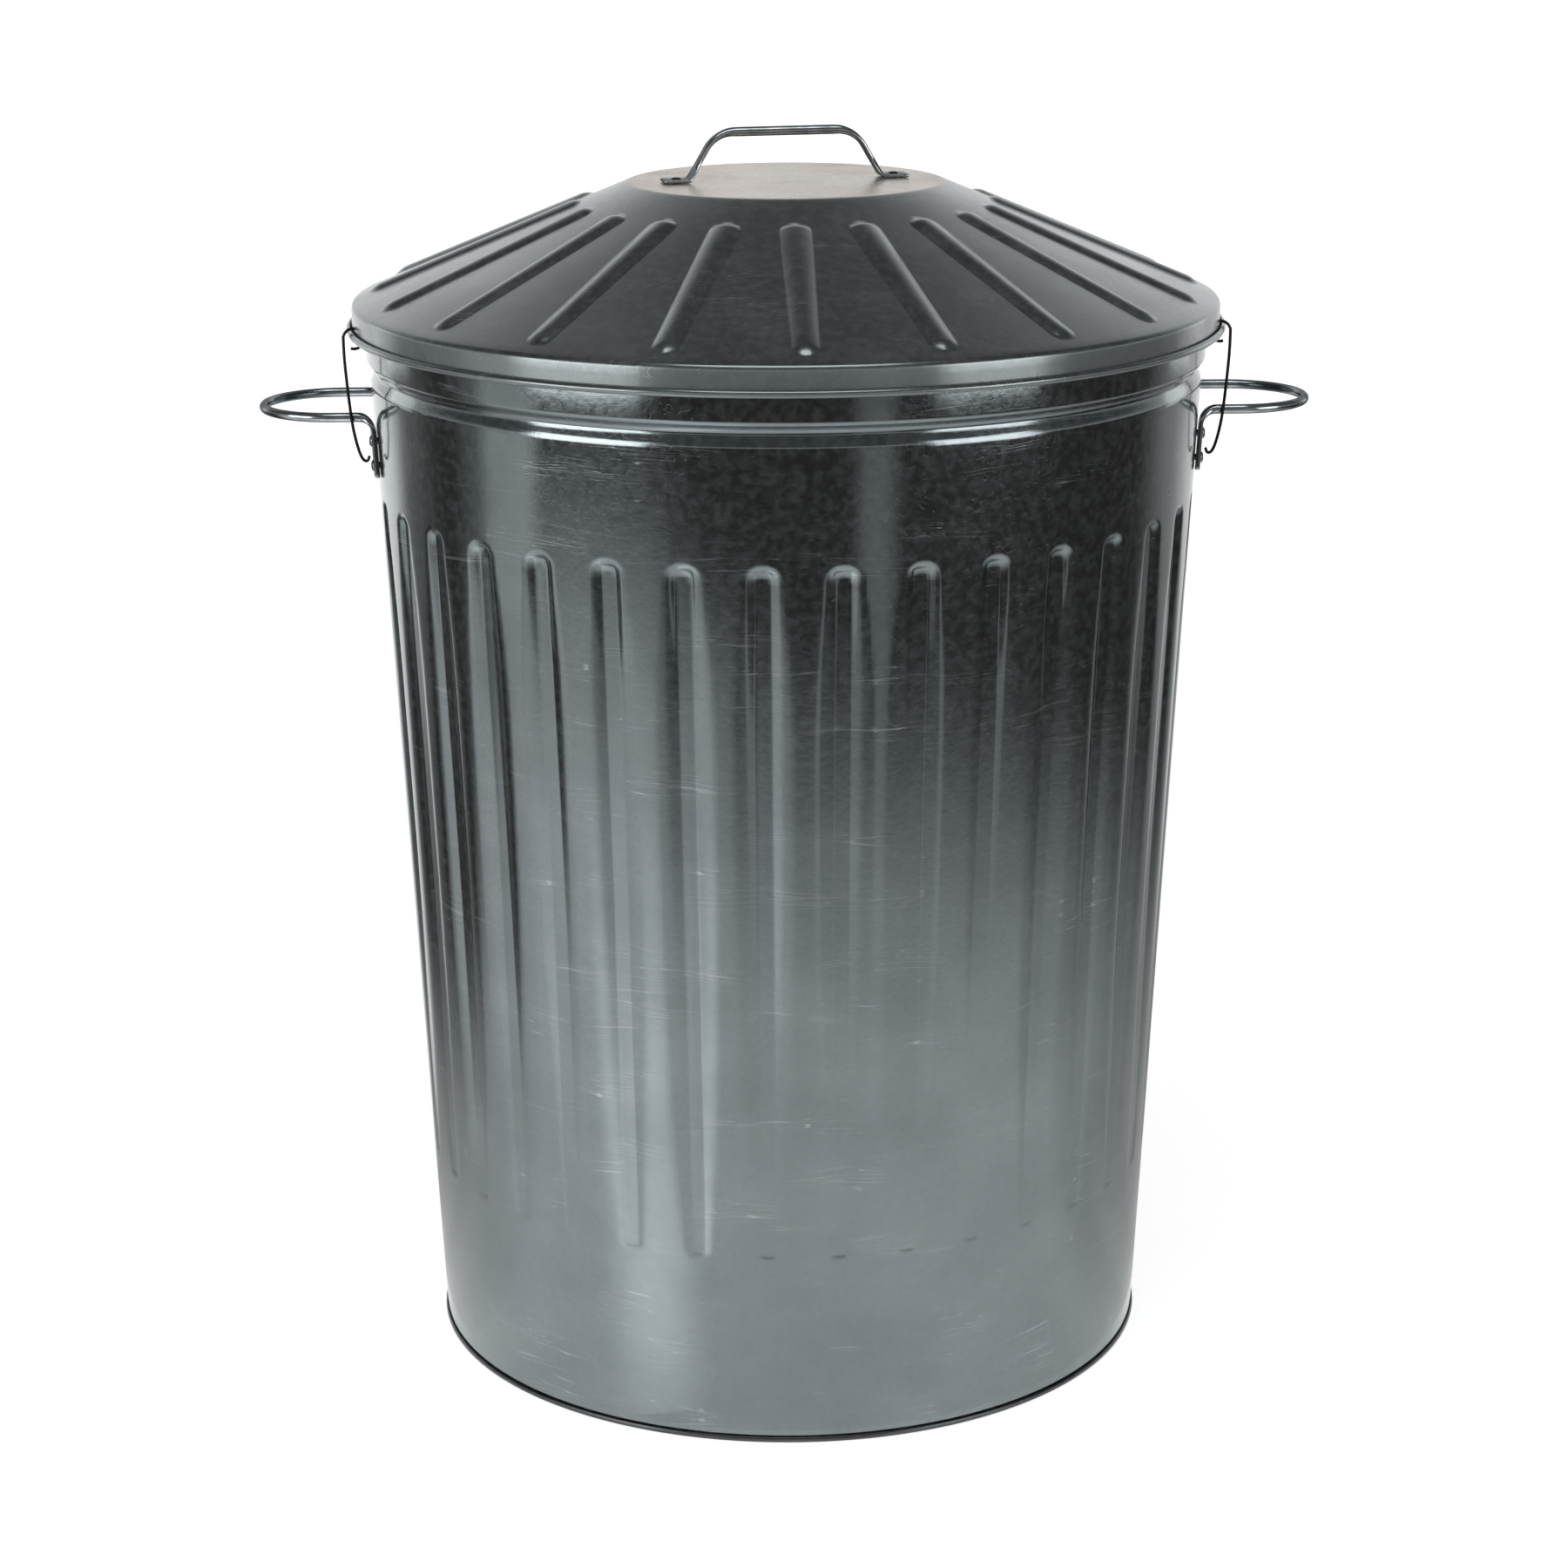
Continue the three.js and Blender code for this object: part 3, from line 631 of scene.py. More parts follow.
@dataclass
class Wall:
    """The rolled wall: flutes pressed inwards, a ring groove, a curled rim and a folded seam."""

    foot_radius: float = 202.0
    flare: float = 0.048
    foot_z: float = 1.4
    band_radius: float = 230.5
    rim_radius: float = 3.0
    rim_z: float = 592.6
    flutes: int = 34
    flute_pitch: float = 10.4
    flute_front: float = -4.97
    flute_depth: float = 3.0
    floor_half: float = 4.0
    floor_bottom: float = 111.0
    floor_top: float = 486.0
    floor_corner: float = 2.2
    arch_radius: float = 9.8
    arch_drop: float = 4.4
    side_half: float = 17.3
    side_run: float = 80.0
    foot_depth: float = 0.22
    rounding: float = 0.7
    mean_radius: float = 218.0
    deepens: tuple[float, float] = (100.0, 330.0)
    seam_proud: float = 1.3
    seam_edge: tuple[float, float] = (0.98, 1.26)
    seam_foot: tuple[float, float] = (8.0, 10.0)
    seam_head: tuple[float, float] = (583.0, 587.0)
    offsets: tuple[float, ...] = (0.0, 0.55, 0.96, 1.08, 1.35, 1.7, 2.05, 2.42, 3.0, 3.7, 4.45)
    seam_offsets: tuple[float, ...] = (0.0, 0.55, 1.0, 1.14, 1.3, 2.2)

    def radius(self, z: float) -> float:
        """Outer radius of the plain wall at a height."""
        return self.foot_radius + self.flare * z

    def outline(self) -> Outline:
        """Outer face from the foot to the end of the curl, with close rows where the flutes end."""
        end_steps = (-0.3, 0.4, 1.2, 2.1, 3.0, 3.9, 4.8, 5.7, 7.2)
        rows = [self.foot_z, 5, 9, 40, 80]
        rows += [self.floor_bottom - step for step in reversed(end_steps)]
        rows += [135, 180, 235, 290, 345, 400, 430, 450, 465, 474, 479.5, 483]
        rows += [self.floor_top + step for step in end_steps]
        rows += [515, 538]
        plain = [(self.radius(z), z) for z in rows]
        groove = [
            (228.32, 549.0), (228.36, 550.6), (228.2, 551.5), (227.7, 552.9), (226.9, 554.9), (226.3, 556.5),
            (226.1, 557.5), (226.4, 558.5), (227.3, 559.9), (228.8, 561.6), (230.0, 562.8), (230.45, 563.5),
        ]
        band = [(self.band_radius, 564.6), (self.band_radius, 576), (self.band_radius, 586)]
        curl = arc(self.band_radius - self.rim_radius, self.rim_z, self.rim_radius, 0, 290, 10)
        return plain + groove + band + curl

    def seam_angle(self) -> float:
        """Middle of the plain land at the back, where the sheet's ends are hooked together."""
        return 180 + self.flute_front + self.flute_pitch / 2

    def columns(self) -> list[float]:
        """Angles of the wall's columns, in order from the front."""
        first = self.flute_front - self.flute_pitch * (self.flutes / 2 - 1)
        angles = [self.seam_angle()]
        angles += [self.seam_angle() + sign * step for step in self.seam_offsets[1:] for sign in (-1, 1)]
        for i in range(self.flutes):
            centre = first + self.flute_pitch * i
            angles += [centre] + [centre + sign * step for step in self.offsets[1:] for sign in (-1, 1)]
            angles.append(centre + self.flute_pitch / 2)
        angles[-1] = self.seam_angle() - 2.9
        return sorted(angle % 360 for angle in angles)

    def depth(self, angle: float, z: float) -> float:
        """How deep the flutes are pressed at a point.

        Args:
            angle: Degrees from the front.
            z: Height.

        Returns:
            Depth below the plain wall.
        """
        turn = (angle + 180) % 360 - 180 - self.flute_front
        k = min(max(round(turn / self.flute_pitch), 1 - self.flutes // 2), self.flutes // 2)
        across = math.radians(abs(turn - k * self.flute_pitch)) * self.mean_radius
        from_end = min(self.floor_top - z, z - self.floor_bottom)
        corner = self.floor_corner
        outside = math.hypot(max(across - self.floor_half + corner, 0.0), max(corner - from_end, 0.0))
        from_floor = max(outside - corner, 0.0)
        half = mix(self.arch_radius, self.side_half, smooth_share(self.arch_drop, self.side_run, from_end))
        to_edge = half - math.hypot(across, max(self.arch_drop - from_end, 0.0))
        if to_edge <= 0:
            return 0.0
        share = from_floor / (from_floor + to_edge)
        depth = self.flute_depth * mix(self.foot_depth, 1.0, smooth_share(*self.deepens, z))
        rate = 1 / (1 - self.rounding / 2)
        if share > 1 - self.rounding:
            return depth * rate * (1 - share) ** 2 / (2 * self.rounding)
        return depth * (1 - rate * share)

    def shape(self, bm: BMesh) -> None:
        """Presses the flutes in and lets the folded seam stand out."""
        for vert in bm.verts:
            radius, turn = polar(vert.co)
            angle = math.degrees(turn)
            off_seam = abs((angle - self.seam_angle() + 180) % 360 - 180)
            fold = 1 - smooth_share(*self.seam_edge, off_seam)
            fold *= smooth_share(*self.seam_foot, vert.co.z) * (1 - smooth_share(*self.seam_head, vert.co.z))
            change = self.seam_proud * fold - self.depth(angle, vert.co.z)
            vert.co.x *= (radius + change) / radius
            vert.co.y *= (radius + change) / radius

    def build(self, finish: Material) -> None:
        """Makes the wall and hangs it on the bin."""
        columns = self.columns()
        bm = spin_outline(self.outline(), len(columns))
        turn_columns(bm, len(columns), lambda column, _: columns[column])
        self.shape(bm)
        bm.normal_update()
        face_away(bm)
        thicken(add_piece(bm, "wall_sheet", finish, "bin", ["body_wall"], 55), SHEET)


@dataclass
class Base:
    """The raised floor of the bin, folded down inside the wall and up round its foot."""

    floor_z: float = 7.2
    flange_radius: float = 200.7
    lip_radius: float = 203.4
    lip_top: float = 2.95
    fold: float = 1.0

    def outline(self) -> Outline:
        """The closed outline of the sheet, from the underside's middle round to the top's middle."""
        z, lip, outer, fold = self.floor_z, self.lip_radius, self.flange_radius, self.fold
        inner = outer - SHEET
        under = [(0.0, z), (120.0, z), (inner - 3.2, z)]
        down = [(inner - 1.2, z - 0.5), (inner - 0.2, z - 1.7), (inner, z - 3.2)]
        foot = arc(inner + fold, fold, fold, 180, 270, 4) + arc(lip - fold, fold, fold, 270, 360, 4)
        edge = [(lip, 1.7), (lip - 0.1, 2.3), (lip - 0.35, 2.75), (lip - 0.65, self.lip_top)]
        edge += [(lip - 0.9, self.lip_top - 0.1), (lip - 0.98, 2.3)]
        bottom = [(lip - SHEET, SHEET + 0.3), (outer, SHEET + 0.3)]
        up = [(outer, z - 2.6), (outer - 0.5, z - 0.9)]
        top = [(outer - 1.7, z + 0.4), (outer - 3.6, z + SHEET), (120.0, z + SHEET), (0.0, z + SHEET)]
        return under + down + foot + edge + bottom + up + top

    def build(self, finish: Material) -> None:
        """Makes the base and hangs it on the bin."""
        bm = spin_outline(self.outline(), 288)
        add_piece(bm, "base_sheet", finish, "bin", ["base_disc"])


@dataclass
class Rivet:
    """A round-headed rivet through a sheet and a flattened rod end, along its own axis."""

    shank: float = 1.8
    head: float = 3.1
    head_height: float = 1.3
    inner: float = -SHEET - 0.3
    closed_head: float = 0.95
    dome: tuple[float, ...] = (0, 6, 15, 27, 40, 54, 67, 80)
    dome_power: float = 0.8

    def shape(self, plate: float) -> BMesh:
        """The rivet along +Z: z = 0 is the outer face of the sheet, and the plate lies on it."""
        outer = GAP + plate + 0.05
        inside = [(r * self.head * self.closed_head, z) for r, z in arc(0, self.inner, 1.0, 270, 360, 4)]
        shank = [(self.shank, self.inner), (self.shank, outer)]
        head = []
        for angle in map(math.radians, self.dome):
            radius = self.head * math.cos(angle) ** self.dome_power
            head.append((radius, outer + self.head_height * math.sin(angle)))
        return spin_outline(inside + shank + head + [(0.0, outer + self.head_height)], 28)

    def build(self, plate: float, place: Matrix, name: str, finish: Material, body: str, node: str) -> None:
        """Makes the rivet at its place and hangs it on the body that it joins."""
        bm = self.shape(plate)
        bmesh.ops.transform(bm, matrix=place, verts=bm.verts)
        add_piece(bm, name, finish, body, [node])


@dataclass
class SideHandle:
    """A round rod bent into a level loop, its two ends bent down, flattened and riveted on."""

    side: Side
    wall: Wall
    rod_radius: float = 2.65
    height: float = 534.5
    half: float = 40.0
    reach: float = 288.2
    foot_z: float = 501.6
    bend: float = 8.0
    leg_half_width: float = 4.5
    leg_half_thickness: float = 1.4
    rivet_heights: tuple[float, float] = (521.5, 508.0)

    def leg_radius(self, z: float) -> float:
        """Distance of a leg's centreline from the bin's axis at a height."""
        return self.wall.radius(z) + GAP + self.leg_half_thickness

    def leg_angle(self) -> float:
        """Angle of the legs from the X axis, in radians."""
        return math.asin(self.half / self.leg_radius(self.height))

    def leg_at(self, z: float, front: int) -> Vector:
        """Point on a leg's centreline; front is -1 for the front leg and 1 for the rear one."""
        radius, angle = self.leg_radius(z), self.leg_angle()
        return Vector((radius * math.cos(angle), front * radius * math.sin(angle), z))

    def stations(self) -> list[Station]:
        """Sections of the rod, for the right side."""
        corners = [
            self.leg_at(self.foot_z, -1),
            self.leg_at(self.height, -1),
            Vector((self.reach, -self.half, self.height)),
            Vector((self.reach, self.half, self.height)),
            self.leg_at(self.height, 1),
            self.leg_at(self.foot_z, 1),
        ]
        radii = [0, self.bend, self.half - 0.1, self.half - 0.1, self.bend, 0]
        ends = (self.leg_half_width, self.leg_half_thickness)
        sections = []
        for at, along in rounded_path(corners, radii, 3.0):
            flat = smooth_share(0.1, 1.0, abs(along.z))
            tangent = Vector((-at.y, at.x, 0)).normalized() * -math.copysign(1, at.y)
            wide = UP.cross(along) + tangent * flat
            wide = (wide - along * wide.dot(along)).normalized()
            sizes = (mix(self.rod_radius, end, flat) for end in ends)
            sections.append(Station(at, along, wide, *sizes, flat))
        return sections

    def build(self, rod: Material, rivet: Material) -> None:
        """Makes the handle and its four rivets and hangs them on the bin."""
        word = self.side.name.lower()
        half_turn = Matrix.Rotation(0 if self.side is Side.RIGHT else math.pi, 4, "Z")
        bm = sweep(self.stations(), 16, 0.5)
        bmesh.ops.transform(bm, matrix=half_turn, verts=bm.verts)
        add_piece(bm, f"{word}_handle_rod", rod, "bin", [f"side_handle_{word}"], 75)
        for front in (-1, 1):
            for z, row in zip(self.rivet_heights, ("upper", "lower")):
                angle = front * self.leg_angle()
                way = Vector((math.cos(angle), math.sin(angle), 0))
                place = Matrix.Translation(way * self.wall.radius(z) + UP * z)
                place = place @ way.to_track_quat("Z", "Y").to_matrix().to_4x4()
                end = "front" if front * self.side.value < 0 else "rear"
                name, node = f"{word}_{end}_{row}_rivet", f"rivet_{word}_{end}_{row}"
                Rivet().build(2 * self.leg_half_thickness, half_turn @ place, name, rivet, "bin", node)


# ---- Lid ----


@dataclass
class Lid:
    """The pressed lid: flat top, ribbed cone, rounded shoulder, skirt and wired hem."""

    top_z: float = 656.0
    top_radius: float = 85.96
    cone_z: float = 594.0
    cone_radius: float = 235.0
    slope: float = 0.416
    skirt_radius: float = 237.7
    shoulder: float = 3.5
    hem_radius: float = 238.9
    hem_z: float = 579.5
    hem_roll: float = 1.2
    ribs: int = 20
    rib_front: float = 0.64
    rib_inner: float = 111.0
    rib_outer: float = 228.5
    rib_end: float = 7.0
    rib_half: float = 8.6
    rib_height: float = 2.6
    rib_taper: float = 0.16
    offsets: tuple[float, ...] = (0.0, 1.8, 3.5, 5.1, 6.3, 7.2, 7.8, 8.3, 8.8, 9.5)

    def cone(self, radius: float) -> float:
        """Height of the cone at a radius."""
        return self.cone_z + self.slope * (self.cone_radius - radius)

    def outline(self) -> Outline:
        """Outer face from the middle to the end of the hem."""
        top = [(radius, self.top_z) for radius in (0, 20, 40, 60, 75, 83)]
        edge = [(self.top_radius - 0.7, self.top_z), (self.top_radius, self.top_z - 0.09)]
        ends = (0.0, 0.5, 1.4, 2.6, 3.9, 5.3, 7.0)
        radii = [self.top_radius + 0.8, 89, 98, 108]
        radii += [self.rib_inner + step for step in ends]
        radii += [128, 140, 152, 164, 176, 188, 200, 211]
        radii += [self.rib_outer - step for step in reversed(ends)] + [229.6, 231.5]
        cone = [(radius, self.cone(radius)) for radius in radii]
        tilt = math.degrees(math.atan(self.slope))
        shoulder_r = self.skirt_radius - self.shoulder
        shoulder_z = self.cone(shoulder_r) - self.shoulder / math.cos(math.radians(tilt))
        bend = arc(shoulder_r, shoulder_z, self.shoulder, 90 - tilt, 0, 6)
        skirt = [(self.skirt_radius, 587.0), (self.skirt_radius, 584.0), (self.skirt_radius, 581.0)]
        hem = arc(self.hem_radius, self.hem_z, self.hem_roll, 180, 455, 14)
        return top + edge + cone + bend + skirt + hem

    def steps(self) -> int:
        """Columns in the full turn: those of each rib and four between it and the next."""
        return self.ribs * (2 * len(self.offsets) - 1 + 4)

    def column_angle(self, column: int, radius: float) -> float:
        """Angle of a column: rib columns run side by side, the others share what is between.

        Args:
            column: Number of the column.
            radius: Radius of the point.

        Returns:
            Degrees from the front.
        """
        per_rib = self.steps() // self.ribs
        reach = len(self.offsets) - 1
        rib, place = divmod(column + reach, per_rib)
        spread = max(radius, self.top_radius)
        width = math.degrees(math.asin(self.offsets[-1] / spread))
        pitch = 360 / self.ribs
        if place <= 2 * reach:
            offset = self.offsets[abs(place - reach)] * (1 if place > reach else -1)
            angle = math.degrees(math.asin(offset / spread))
        else:
            angle = width + (pitch - 2 * width) * (place - 2 * reach) / (per_rib - 2 * reach)
        return rib * pitch + angle

    def press_ribs(self, bm: BMesh) -> None:
        """Raises the ribs: rounded across and rounded off at both ends."""
        for vert in bm.verts:
            radius, turn = polar(vert.co)
            if not self.rib_inner < radius < self.rib_outer or vert.co.z < self.cone_z:
                continue
            pitch = math.tau / self.ribs
            off = (turn + pitch / 2) % pitch - pitch / 2
            taper = 1 - self.rib_taper * smooth_share(self.rib_inner, self.rib_outer, radius)
            across = radius * math.sin(off) / (self.rib_half * taper)
            past = max(self.rib_inner + self.rib_end - radius, radius - self.rib_outer + self.rib_end, 0.0)
            left = 1 - across**2 - (past / self.rib_end) ** 2
            if left > 0:
                vert.co.z += self.rib_height * left

    def build(self, finish: Material) -> None:
        """Makes the lid's sheet and hangs it on the lid."""
        bm = spin_outline(self.outline(), self.steps())
        turn_columns(bm, self.steps(), self.column_angle)
        self.press_ribs(bm)
        turn = Matrix.Rotation(math.radians(self.rib_front), 4, "Z")
        bmesh.ops.transform(bm, matrix=turn, verts=bm.verts)
        bm.normal_update()
        face_away(bm)
        thicken(add_piece(bm, "lid_sheet", finish, "lid", ["lid_shell"], 55), SHEET)


@dataclass
class LidHandle:
    """A rod raised over the lid's flat top, its two ends flattened into riveted feet."""

    turn: float = 10.1
    top_z: float = 656.0
    bar_z: float = 682.6
    bar_half: float = 38.5
    foot_inner: float = 53.5
    foot_outer: float = 68.0
    rod_radius: float = 2.58
    foot_half_width: float = 7.3
    foot_half_thickness: float = 0.9
    bend_half_width: float = 3.6
    bend_half_thickness: float = 1.5
    rivet_at: float = 60.5

    def way(self) -> Vector:
        """Level direction from the left foot to the right foot."""
        angle = math.radians(self.turn)
        return Vector((math.cos(angle), math.sin(angle), 0))

    def stations(self) -> list[Station]:
        """Sections of the rod, from the left foot to the right foot."""
        foot_z = self.top_z + GAP + self.foot_half_thickness
        half = [(self.foot_outer, foot_z), (self.foot_inner, foot_z), (self.bar_half, self.bar_z)]
        outline = [(-s, z) for s, z in half] + half[::-1]
        corners = [self.way() * s + UP * z for s, z in outline]
        across = UP.cross(self.way())
        widths = (self.bend_half_width, self.foot_half_width)
        thicknesses = (self.bend_half_thickness, self.foot_half_thickness)
        sections = []
        for at, along in rounded_path(corners, [0, 2.5, 18, 18, 2.5, 0], 2.0):
            s = abs(at.dot(self.way()))
            thin = smooth_share(self.bar_half - 13, self.bar_half + 7, s)
            spread = smooth_share(self.foot_inner - 6, self.foot_inner + 0.5, s)
            sizes = (mix(mix(self.rod_radius, a, thin), b, spread) for a, b in (widths, thicknesses))
            sections.append(Station(at, along, across, *sizes, max(0.6 * thin, spread)))
        return sections

    def build(self, rod: Material, rivet: Material) -> None:
        """Makes the handle and its two rivets and hangs them on the lid."""
        bm = sweep(self.stations(), 20, 0.6)
        add_piece(bm, "lid_handle_rod", rod, "lid", ["lid_handle"], 75)
        for side in Side:
            place = Matrix.Translation(self.way() * side.value * self.rivet_at + UP * self.top_z)
            name, node = f"lid_{side.name.lower()}_rivet", f"lid_rivet_{side.name.lower()}"
            flat_head = Rivet(head=2.6, head_height=0.7)
            flat_head.build(2 * self.foot_half_thickness, place, name, rivet, "lid", node)


@dataclass
class LidClip:
    """A spring wire: a round eye through the skirt, a long shank and a small curl at its foot."""

    side: Side
    wire: float = 0.85
    x: float = 234.1
    y: float = -43.9
    z: float = 577.9
    eye: float = 5.5
    eye_turn: float = 288.0
    shank: tuple[tuple[float, float], ...] = (
        (5.3, -10.9), (4.5, -22.9), (3.5, -34.9), (2.05, -47.9),
        (-0.2, -58.9), (-2.6, -65.4), (-5.1, -66.6), (-6.4, -63.9),
    )

    def build(self, finish: Material) -> None:
        """Makes the clip and hangs it on its own body."""
        outline = arc(0, 0, self.eye, self.eye_turn, 0, 16) + list(self.shank)
        points = [Vector((self.side.value * (self.x + out), self.y, self.z + up)) for out, up in outline]
        across = Vector((0, 1, 0))
        sections = [Station(at, along, across, self.wire, self.wire) for at, along in smooth_path(points, 4)]
        word = self.side.name.lower()
        bm = sweep(sections, 10, 0.2)
        add_piece(bm, f"{word}_clip_wire", finish, f"lid_clip_{word}", [f"lid_clip_{word}"])


# ---- Studio ----


@dataclass
class Softbox:
    """A soft lamp that stands or hangs near the bin."""

    name: str
    azimuth: float
    distance: float
    centre_z: float
    width: float
    height: float
    power: float
    aim_z: float = 0.4

    def build(self) -> None:
        """Makes the lamp; the camera doesn't see it, but the metal does."""
        lamp = bpy.data.lights.new(self.name, "AREA")
        lamp.shape = "RECTANGLE"
        lamp.size = self.width
        lamp.size_y = self.height
        lamp.energy = self.power
        holder = bpy.data.objects.new(self.name, lamp)
        angle = math.radians(self.azimuth)
        at = Vector((self.distance * math.sin(angle), -self.distance * math.cos(angle), self.centre_z))
        holder.location = at
        aim = Vector((0, 0, self.aim_z)) - at
        holder.rotation_euler = aim.to_track_quat("-Z", "Y").to_euler()
        holder.visible_camera = False
        bpy.context.scene.collection.objects.link(holder)


@dataclass
class Studio:
    """The plain room: pale floor, dark surround that only the metal sees, soft lamps and camera."""

    floor_half: float = 30.0
    surround_radius: float = 3.2
    surround_top: float = 0.6
    cloth_fade: tuple[float, float] = (0.45, 1.55)
    overhead: float = 0.12
    # By azimuth: how far the pale floor reaches, then how much cloth covers it beyond and within that.
    pale_reach: dict[float, tuple[float, float, float]] = field(
        default_factory=lambda: {
            -180: (0.7, 0.0, 0.2), -142: (0.7, 0.0, 0.15), -126: (0.58, 0.85, 0.6), -104: (0.62, 1.0, 0.4),
            -92: (0.9, 0.85, 0.25), -86: (1.3, 0.45, 0.2), -74: (1.4, 0.5, 0.1), -68: (1.5, 1.0, 0.0),
            -62: (1.52, 1.0, 0.0), -42: (1.46, 1.0, 0.0), -20: (1.2, 1.0, 0.1), 0: (1.0, 1.0, 0.12),
            14: (1.0, 1.0, 0.1), 19: (1.0, 0.76, 0.1), 23: (1.0, 0.76, 0.1), 28: (0.98, 1.0, 0.1),
            62: (0.96, 1.0, 0.1), 84: (0.93, 1.0, 0.32), 104: (0.9, 1.0, 0.5), 126: (0.8, 0.7, 0.6),
            146: (0.8, 0.3, 0.75), 180: (0.7, 0.0, 0.2),
        }
    )

    def stage_object(self, bm: BMesh, name: str, material: Material, metal_only: bool = False) -> None:
        """Makes an object that isn't part of the bin; with metal_only, reflections alone show it."""
        thing = new_object(bm, name, material)
        if metal_only:
            for flag in ("visible_camera", "visible_diffuse", "visible_shadow", "visible_transmission"):
                setattr(thing, flag, False)

    def background_rays(self, tree: Tree) -> Socket:
        """1 for the rays that see the white background: camera, glossy and transmission rays."""
        seen = add_node(tree, "LightPath", out="Is Camera Ray")
        rays = seen.node.outputs
        for other in ("Is Glossy Ray", "Is Transmission Ray"):
            seen = add_node(tree, "Math", {"operation": "MAXIMUM"}, {0: seen, 1: rays[other]})
        return seen

    def floor(self) -> None:
        """A pale matt floor that keeps the bin's soft shadow and whitens away from it."""
        material = bpy.data.materials.new("matt_white_floor")
        tree = empty_tree(material)
        paint = add_node(tree, "BsdfDiffuse", {"Color": (0.8, 0.8, 0.8, 1)})
        place = add_node(tree, "TexCoord", out="Object")
        away = add_node(tree, "VectorMath", {"operation": "LENGTH"}, {0: place}, "Value")
        level = add_node(tree, "MapRange", {1: 1.2, 2: 3.0, 3: 0.72, 4: 1.05}, {0: away})
        links = {0: self.background_rays(tree), 1: level}
        strength = add_node(tree, "Math", {"operation": "MULTIPLY"}, links)
        glow = add_node(tree, "Emission", {"Color": WHITE}, {"Strength": strength})
        both = add_node(tree, "AddShader", links={0: paint, 1: glow})
        add_node(tree, "OutputMaterial", links={"Surface": both})
        bm = bmesh.new()
        bmesh.ops.create_grid(bm, x_segments=1, y_segments=1, size=self.floor_half)
        bmesh.ops.translate(bm, vec=(0, 0, -0.0004), verts=bm.verts)
        self.stage_object(bm, "floor", material)

    def reach(self, azimuth: float) -> list[float]:
        """How far the pale floor reaches in the metal's view, and how much cloth covers it.

        Args:
            azimuth: Degrees from the front.

        Returns:
            The floor's reach as a share of the usual one, and the cloth's cover beyond and within it.
        """
        azimuth = (azimuth + 180) % 360 - 180
        stops = sorted(self.pale_reach.items())
        for (low, first), (high, second) in zip(stops, stops[1:]):
            if low <= azimuth <= high:
                return [mix(a, b, smooth_share(low, high, azimuth)) for a, b in zip(first, second)]
        return list(stops[0][1])

    def fading_material(self, name: str, colour: tuple[float, ...], strength: float) -> Material:
        """A cloth or card with a glow of its own, solid where its mesh's "fade" is 1."""
        material = bpy.data.materials.new(name)
        tree = empty_tree(material)
        fade = add_node(tree, "Attribute", {"attribute_name": "fade"}, out="Fac")
        clear = add_node(tree, "BsdfTransparent")
        glow = add_node(tree, "Emission", {"Color": colour, "Strength": strength})
        both = add_node(tree, "MixShader", links={0: fade, 1: clear, 2: glow})
        add_node(tree, "OutputMaterial", links={"Surface": both})
        return material

    def surround(self) -> None:
        """Dark floor cloth and low screen, which only reflections see; the cloth's inner edge fades."""
        inner = [(0.21, 0.002)] + [(mix(0.35, 1.65, i / 14), 0.002) for i in range(15)]
        outer = [(self.surround_radius, 0.002), (self.surround_radius, self.surround_top)]
        bm = spin_outline(inner + outer, 180)
        layer = bm.verts.layers.float.new("fade")
        for vert in bm.verts:
            radius, turn = polar(vert.co)
            reach, beyond, within = self.reach(math.degrees(turn))
            vert[layer] = mix(within, beyond, smooth_share(*self.cloth_fade, radius))
            if 0.3 < radius < 1.7:
                vert.co.x *= reach
                vert.co.y *= reach
        material = self.fading_material("black_studio_cloth", linear("433f3c"), 1.0)
        self.stage_object(bm, "dark_surround", material, metal_only=True)

    def light_card(self) -> None:
        """A narrow bright card on the floor at the left, which the metal shows as an upright streak."""
        bm = bmesh.new()
        bmesh.ops.create_grid(bm, x_segments=12, y_segments=14, size=0.5)
        layer = bm.verts.layers.float.new("fade")
        for vert in bm.verts:
            away = mix(0.005, 1.1, 0.5 - vert.co.y)
            along = smooth_share(-0.1, 0.2, away) * (1 - smooth_share(0.1, 1.1, away))
            vert[layer] = along * (1 - (2 * vert.co.x) ** 2) ** 2
            vert.co = Vector((vert.co.x * (0.07 + 0.7 * away), -away, 0.003))
        turn = Matrix.Rotation(math.radians(-46.5), 4, "Z")
        place = Matrix.Translation(Vector((-0.0825, -0.194, 0)))
        bmesh.ops.transform(bm, matrix=place @ turn, verts=bm.verts)
        material = self.fading_material("white_light_card", WHITE, 2.0)
        self.stage_object(bm, "light_card", material, metal_only=True)

